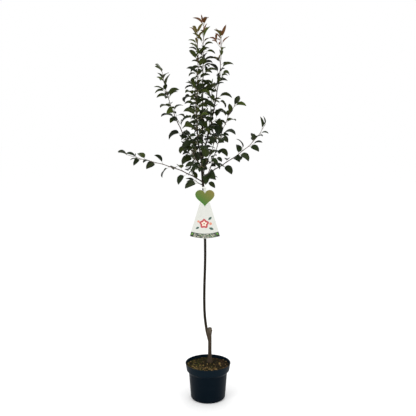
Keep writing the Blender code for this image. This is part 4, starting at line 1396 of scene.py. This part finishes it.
tagSizes = {
    "x": -0.0165,
    "apex": 1.154,
    "length": 0.275,
    "halfAngle": math.radians(17.0),
    "neck": 0.014,
    "thickness": 0.0005,
    "curl": 0.004,            # the bottom corners lie back by this
    "curlReach": 0.08,
    "heartWidth": 0.107,
    "heartTop": 1.139,
    "heartHeight": 0.096,
    "heartProud": 0.0012,
    "border": 0.0028,
    "strapHeight": 1.150,
    "strapWidth": 0.008,
    "strapWall": 0.0009,
    "band": 0.026,
    "ink": 0.00012,           # prints are thin sheets, the finest ones of the second figure
    "fineInk": 0.0001,
    "edge": 0.985,            # of the fan's angle, where the belt's dark corners end
    "pebbles": 0.74,          # of that, where the belt's ovals end
    "blossom": (-0.004, -0.196),
}
strapAxis, strapInner = scionAt(tagSizes["strapHeight"])
tagPlane = strapAxis.y - strapInner - 0.0011


def tagPoint(x, z, proud=0.0):  # a point of the curled sheet, in front of it by proud
    curl = tagSizes["curl"] * (x / tagSizes["curlReach"]) ** 2
    return Vector((tagSizes["x"] + x, tagPlane + curl - proud, tagSizes["apex"] + z))


def sheetPiece(name, outlines, material, proud, thickness):  # outlines cut from sheet and laid on the tag
    vertices, faces = [], []
    for outline in outlines:
        first = len(vertices)
        shape = bmesh.new()
        shape.faces.new([shape.verts.new((x, z, 0)) for x, z in outline])
        bmesh.ops.triangulate(shape, faces=shape.faces)
        bmesh.ops.subdivide_edges(shape, edges=[e for e in shape.edges if e.calc_length() > 0.03], cuts=3)
        bmesh.ops.triangulate(shape, faces=shape.faces)
        shape.verts.index_update()
        flat = [tuple(v.co) for v in shape.verts]
        triangles = [tuple(first + v.index for v in face.verts) for face in shape.faces]
        border = [tuple(first + v.index for v in e.verts) for e in shape.edges if e.is_boundary]
        for depth in (proud + thickness, proud):
            vertices += [tagPoint(x, z, depth) for x, z, level in flat]
        size = len(flat)
        faces += triangles
        faces += [tuple(size + i for i in reversed(t)) for t in triangles]
        faces += [(a, b, size + b, size + a) for a, b in border]
        shape.free()
    piece = newObject(name, vertices, faces, material, smooth=False)
    turnOutwards(piece)
    return piece


def printedSheet(name, code, second=None):  # printed polypropylene sheet, smooth with a faint grain
    material, tree = newMaterial(name, Roughness=0.35, Specular_IOR_Level=0.4)
    place = addNode(tree, "ShaderNodeTexCoord").outputs["Object"]
    grain = addNode(tree, "ShaderNodeTexNoise", {"Vector": place, "Scale": 900.0, "Detail": 2.0})
    if second:  # runs from one ink at the lower left to the other at the upper right
        slope = addNode(tree, "ShaderNodeVectorMath", (place, (0.62, 0.0, 0.78)), operation="DOT_PRODUCT")
        share = addNode(tree, "ShaderNodeMapRange", (slope, 0.815, 0.895))
    else:
        share = addNode(tree, "ShaderNodeMapRange", (grain, 0.0, 1.0, 0.0, 0.12))
    return closeMaterial(material, code, ((share, second or "#808478"),), grain, 0.05, 0.0002)


def heartOutline(scale=1.0):
    size = tagSizes
    outline = []
    for i in range(72):
        t = math.tau * (i + 0.5) / 72
        x = math.sin(t) ** 3 * size["heartWidth"] / 2
        z = (13 * math.cos(t) - 5 * math.cos(2 * t) - 2 * math.cos(3 * t) - math.cos(4 * t)) / 29
        middle = -0.32 * size["heartHeight"]
        z = (z - 0.41) * size["heartHeight"]
        outline.append((x * scale, middle + (z - middle) * scale + size["heartTop"] - size["apex"]))
    return outline


def petalOutline(x, z, angle, length, width, steps=14):  # a pointed oval from (x, z) along an angle
    outline = []
    for i in range(steps * 2):
        t = i / steps if i < steps else 2 - i / steps
        side = 1 if i < steps else -1
        across = side * width / 2 * math.sin(math.pi * t) ** 0.8 if 0 < t < 1 else 0.0
        outline.append((x + math.cos(angle) * length * t - math.sin(angle) * across,
                        z + math.sin(angle) * length * t + math.cos(angle) * across))
    return outline


def ovalOutline(x, z, long, wide, turn=0.0, steps=20):
    angles = [math.tau * i / steps for i in range(steps)]
    return [(x + long * math.cos(a) * math.cos(turn) - wide * math.sin(a) * math.sin(turn),
             z + long * math.cos(a) * math.sin(turn) + wide * math.sin(a) * math.cos(turn)) for a in angles]


def arc(radius, angles):  # points round the tag's apex
    return [(radius * math.sin(a), -radius * math.cos(a)) for a in angles]


def bandOutline(inner, outer, start, end, steps):  # a stretch of a band round the tag's apex
    angles = [start + (end - start) * i / steps for i in range(steps + 1)]
    return arc(inner, angles) + arc(outer, reversed(angles))


def beltPebbles(edge):  # three rows of small ovals in seeded tones along the foot of the fan
    dice = random.Random(31)
    pebbles = {"Dark": [], "Green": [], "Cream": [], "Grey": []}
    for inward in (0.0212, 0.0140, 0.0068):
        radius = tagSizes["length"] - inward
        turn = -edge * tagSizes["pebbles"]
        while turn < edge * tagSizes["pebbles"]:
            wide = dice.uniform(0.0022, 0.0034)
            kind = dice.choice(("Grey", "Grey", "Cream", "Cream", "Green", "Dark"))
            narrow, lean = wide * dice.uniform(0.55, 0.9), dice.uniform(-0.5, 0.5)
            pebbles[kind].append(ovalOutline(*arc(radius, [turn])[0], wide, narrow, lean, 14))
            turn += (2 * wide + 0.0007) / radius
    return pebbles


def dressTag():
    size = tagSizes
    angle, length, half, band = size["halfAngle"], size["length"], size["neck"] / 2, size["band"]
    sheet, ink, fineInk = size["thickness"], size["ink"], size["fineInk"]
    fan = [(-half, -0.004), (-half, -half / math.tan(angle))]
    fan += arc(length, [angle * (i / 12 - 1) for i in range(25)])
    fan += [(half, -half / math.tan(angle)), (half, -0.004)]
    tab = [(-0.0125, -0.0075), (0.0005, -0.0078), (0.0028, -0.0066), (0.0035, -0.0040), (0.0028, -0.0014),
           (0.0005, -0.0002), (-0.0125, -0.0005)]
    fifths = [math.tau * (k / 5) + 0.3 for k in range(5)]
    petals = [petalOutline(*size["blossom"], turn, 0.027, 0.024) for turn in fifths]
    hearts = [petalOutline(*size["blossom"], turn, 0.016, 0.010) for turn in fifths]
    sprigs = [petalOutline(*sprig) for sprig in (
        (0.022, -0.218, -0.35, 0.026, 0.013), (0.018, -0.176, 0.75, 0.024, 0.012),
        (-0.030, -0.214, 3.6, 0.020, 0.011))]
    berries = [ovalOutline(0.030, -0.196, 0.0075, 0.0075), ovalOutline(-0.034, -0.184, 0.006, 0.006)]
    edge = angle * size["edge"]
    corners = [bandOutline(length - band, length - 0.0006, sign * edge * 0.80, sign * edge, 4)
               for sign in (-1, 1)]
    slivers = [petalOutline(sign * 0.070 + shift, -0.258, 1.57 + sign * 0.4 + shift * 30, 0.017, 0.0035, 6)
               for sign in (-1, 1) for shift in (-0.004, 0.0015)]
    belt = bandOutline(length - band, length - 0.0015, -edge * 0.81, edge * 0.81, 24)
    border, lifted = 2 * size["border"] / size["heartHeight"], size["heartProud"]
    pieces = [  # piece, outlines, its print and colours, how far it stands out, thickness
        ("tagFan", [fan], ("printedFanSheet", "#d0d1ca"), 0.0, sheet),
        ("tagTab", [tab], ("strapTabSheet", "#e6e6df"), sheet + 0.0003, 0.0006),
        ("tagHeartBorder", [heartOutline()], ("whiteHeartSheet", "#e9ece4"), lifted, sheet),
        ("tagHeart", [heartOutline(1 - border)], ("greenHeartPrint", "#386a1b", "#7a7030"),
         lifted + sheet, ink),
        ("tagPetals", petals, ("rosePrint", "#b5444a"), sheet, ink),
        ("tagPetalHearts", hearts, ("creamPrint", "#f0dccb"), sheet + ink, fineInk),
        ("tagSprigs", sprigs, ("leafPrint", "#33544a"), sheet, ink),
        ("tagBerries", berries, ("berryPrint", "#d98a72"), sheet, ink),
        ("tagBlossomEye", [ovalOutline(*size["blossom"], 0.0038, 0.0038)], ("eyePrint", "#7a5a2a"),
         sheet + ink + fineInk, fineInk),
        ("tagBelt", [belt], ("beltPrint", "#4d544a"), sheet, fineInk),
        ("tagCorners", corners, ("darkPrint", "#0b0f0a"), sheet, ink),
        ("tagSlivers", slivers, ("brightPrint", "#5fa02a"), sheet + ink, fineInk),
    ]
    inks = {"Dark": ("blackPrint", "#1a2018"), "Green": ("greenPrint", "#57883a"),
            "Cream": ("sandPrint", "#d2cdb6"), "Grey": ("greyPrint", "#9aa098")}
    for kind, outlines in beltPebbles(edge).items():
        pieces.append((f"tagPebbles{kind}", outlines, inks[kind], sheet + fineInk, fineInk))
    for name, outlines, colours, proud, thickness in pieces:
        finishPiece(sheetPiece(name, outlines, printedSheet(*colours), proud, thickness), "tag", "tag")
    inner = strapInner + 0.0006
    outer, halfWidth = inner + size["strapWall"], size["strapWidth"] / 2
    profile = rounded([
        (inner, -halfWidth + 0.001, 0), (inner, -halfWidth, 0.0003), (outer, -halfWidth, 0.0003),
        (outer, halfWidth, 0.0003), (inner, halfWidth, 0.0003), (inner, -halfWidth + 0.001, 0)], 3)
    vertices, faces = turned(profile, 64)
    vertices = [(x + strapAxis.x, y + strapAxis.y, z + size["strapHeight"]) for x, y, z in vertices]
    strap = newObject("tagStrap", vertices, faces, printedSheet("strapSheet", "#e6e6df"))
    turnOutwards(strap)
    finishPiece(strap, "tag", "tag")


dressTag()


# Studio: pale floor, soft lights, camera at the photograph's view

studio = {
    "cameraPlace": (0.0, -3.3, 1.494),
    "cameraTilt": math.radians(7.79),
    "lens": 54.9,
    "world": 1.0,
    "aim": (0, 0, 1.1),       # where the lights point
    "floor": 30,              # half its side
    "lights": (               # place, size, power
        ((-1.9, -2.6, 3.0), 1.6, 34.0),
        ((2.2, -2.0, 2.2), 1.8, 16.0),
        ((0.3, 2.4, 3.0), 2.0, 20.0),
    ),
}


def buildStudio():
    scene = bpy.context.scene
    camera = bpy.data.objects.new("camera", bpy.data.cameras.new("camera"))
    camera.data.lens = studio["lens"]
    camera.location = studio["cameraPlace"]
    camera.rotation_euler = (math.pi / 2 - studio["cameraTilt"], 0, 0)
    scene.collection.objects.link(camera)
    scene.camera = camera
    scene.view_settings.view_transform = "Standard"
    scene.world = bpy.data.worlds.new("studio")
    scene.world.use_nodes = True
    feed(scene.world.node_tree.nodes["Background"], {"Color": "#ffffff", "Strength": studio["world"]})
    for index, (place, size, power) in enumerate(studio["lights"]):
        lamp = bpy.data.lights.new(f"softLight{index}", "AREA")
        lamp.size = size
        lamp.energy = power
        light = bpy.data.objects.new(lamp.name, lamp)
        light.location = place
        light.rotation_euler = (Vector(studio["aim"]) - Vector(place)).to_track_quat("-Z", "Y").to_euler()
        scene.collection.objects.link(light)
    pale = newMaterial("paleStudioFloor", Base_Color="#ffffff", Roughness=1.0, Specular_IOR_Level=0.0)[0]
    half = studio["floor"]
    floor = newObject("floor", [(-half, -half, 0), (half, -half, 0), (half, half, 0), (-half, half, 0)],
                      [(0, 1, 2, 3)], pale)


buildStudio()
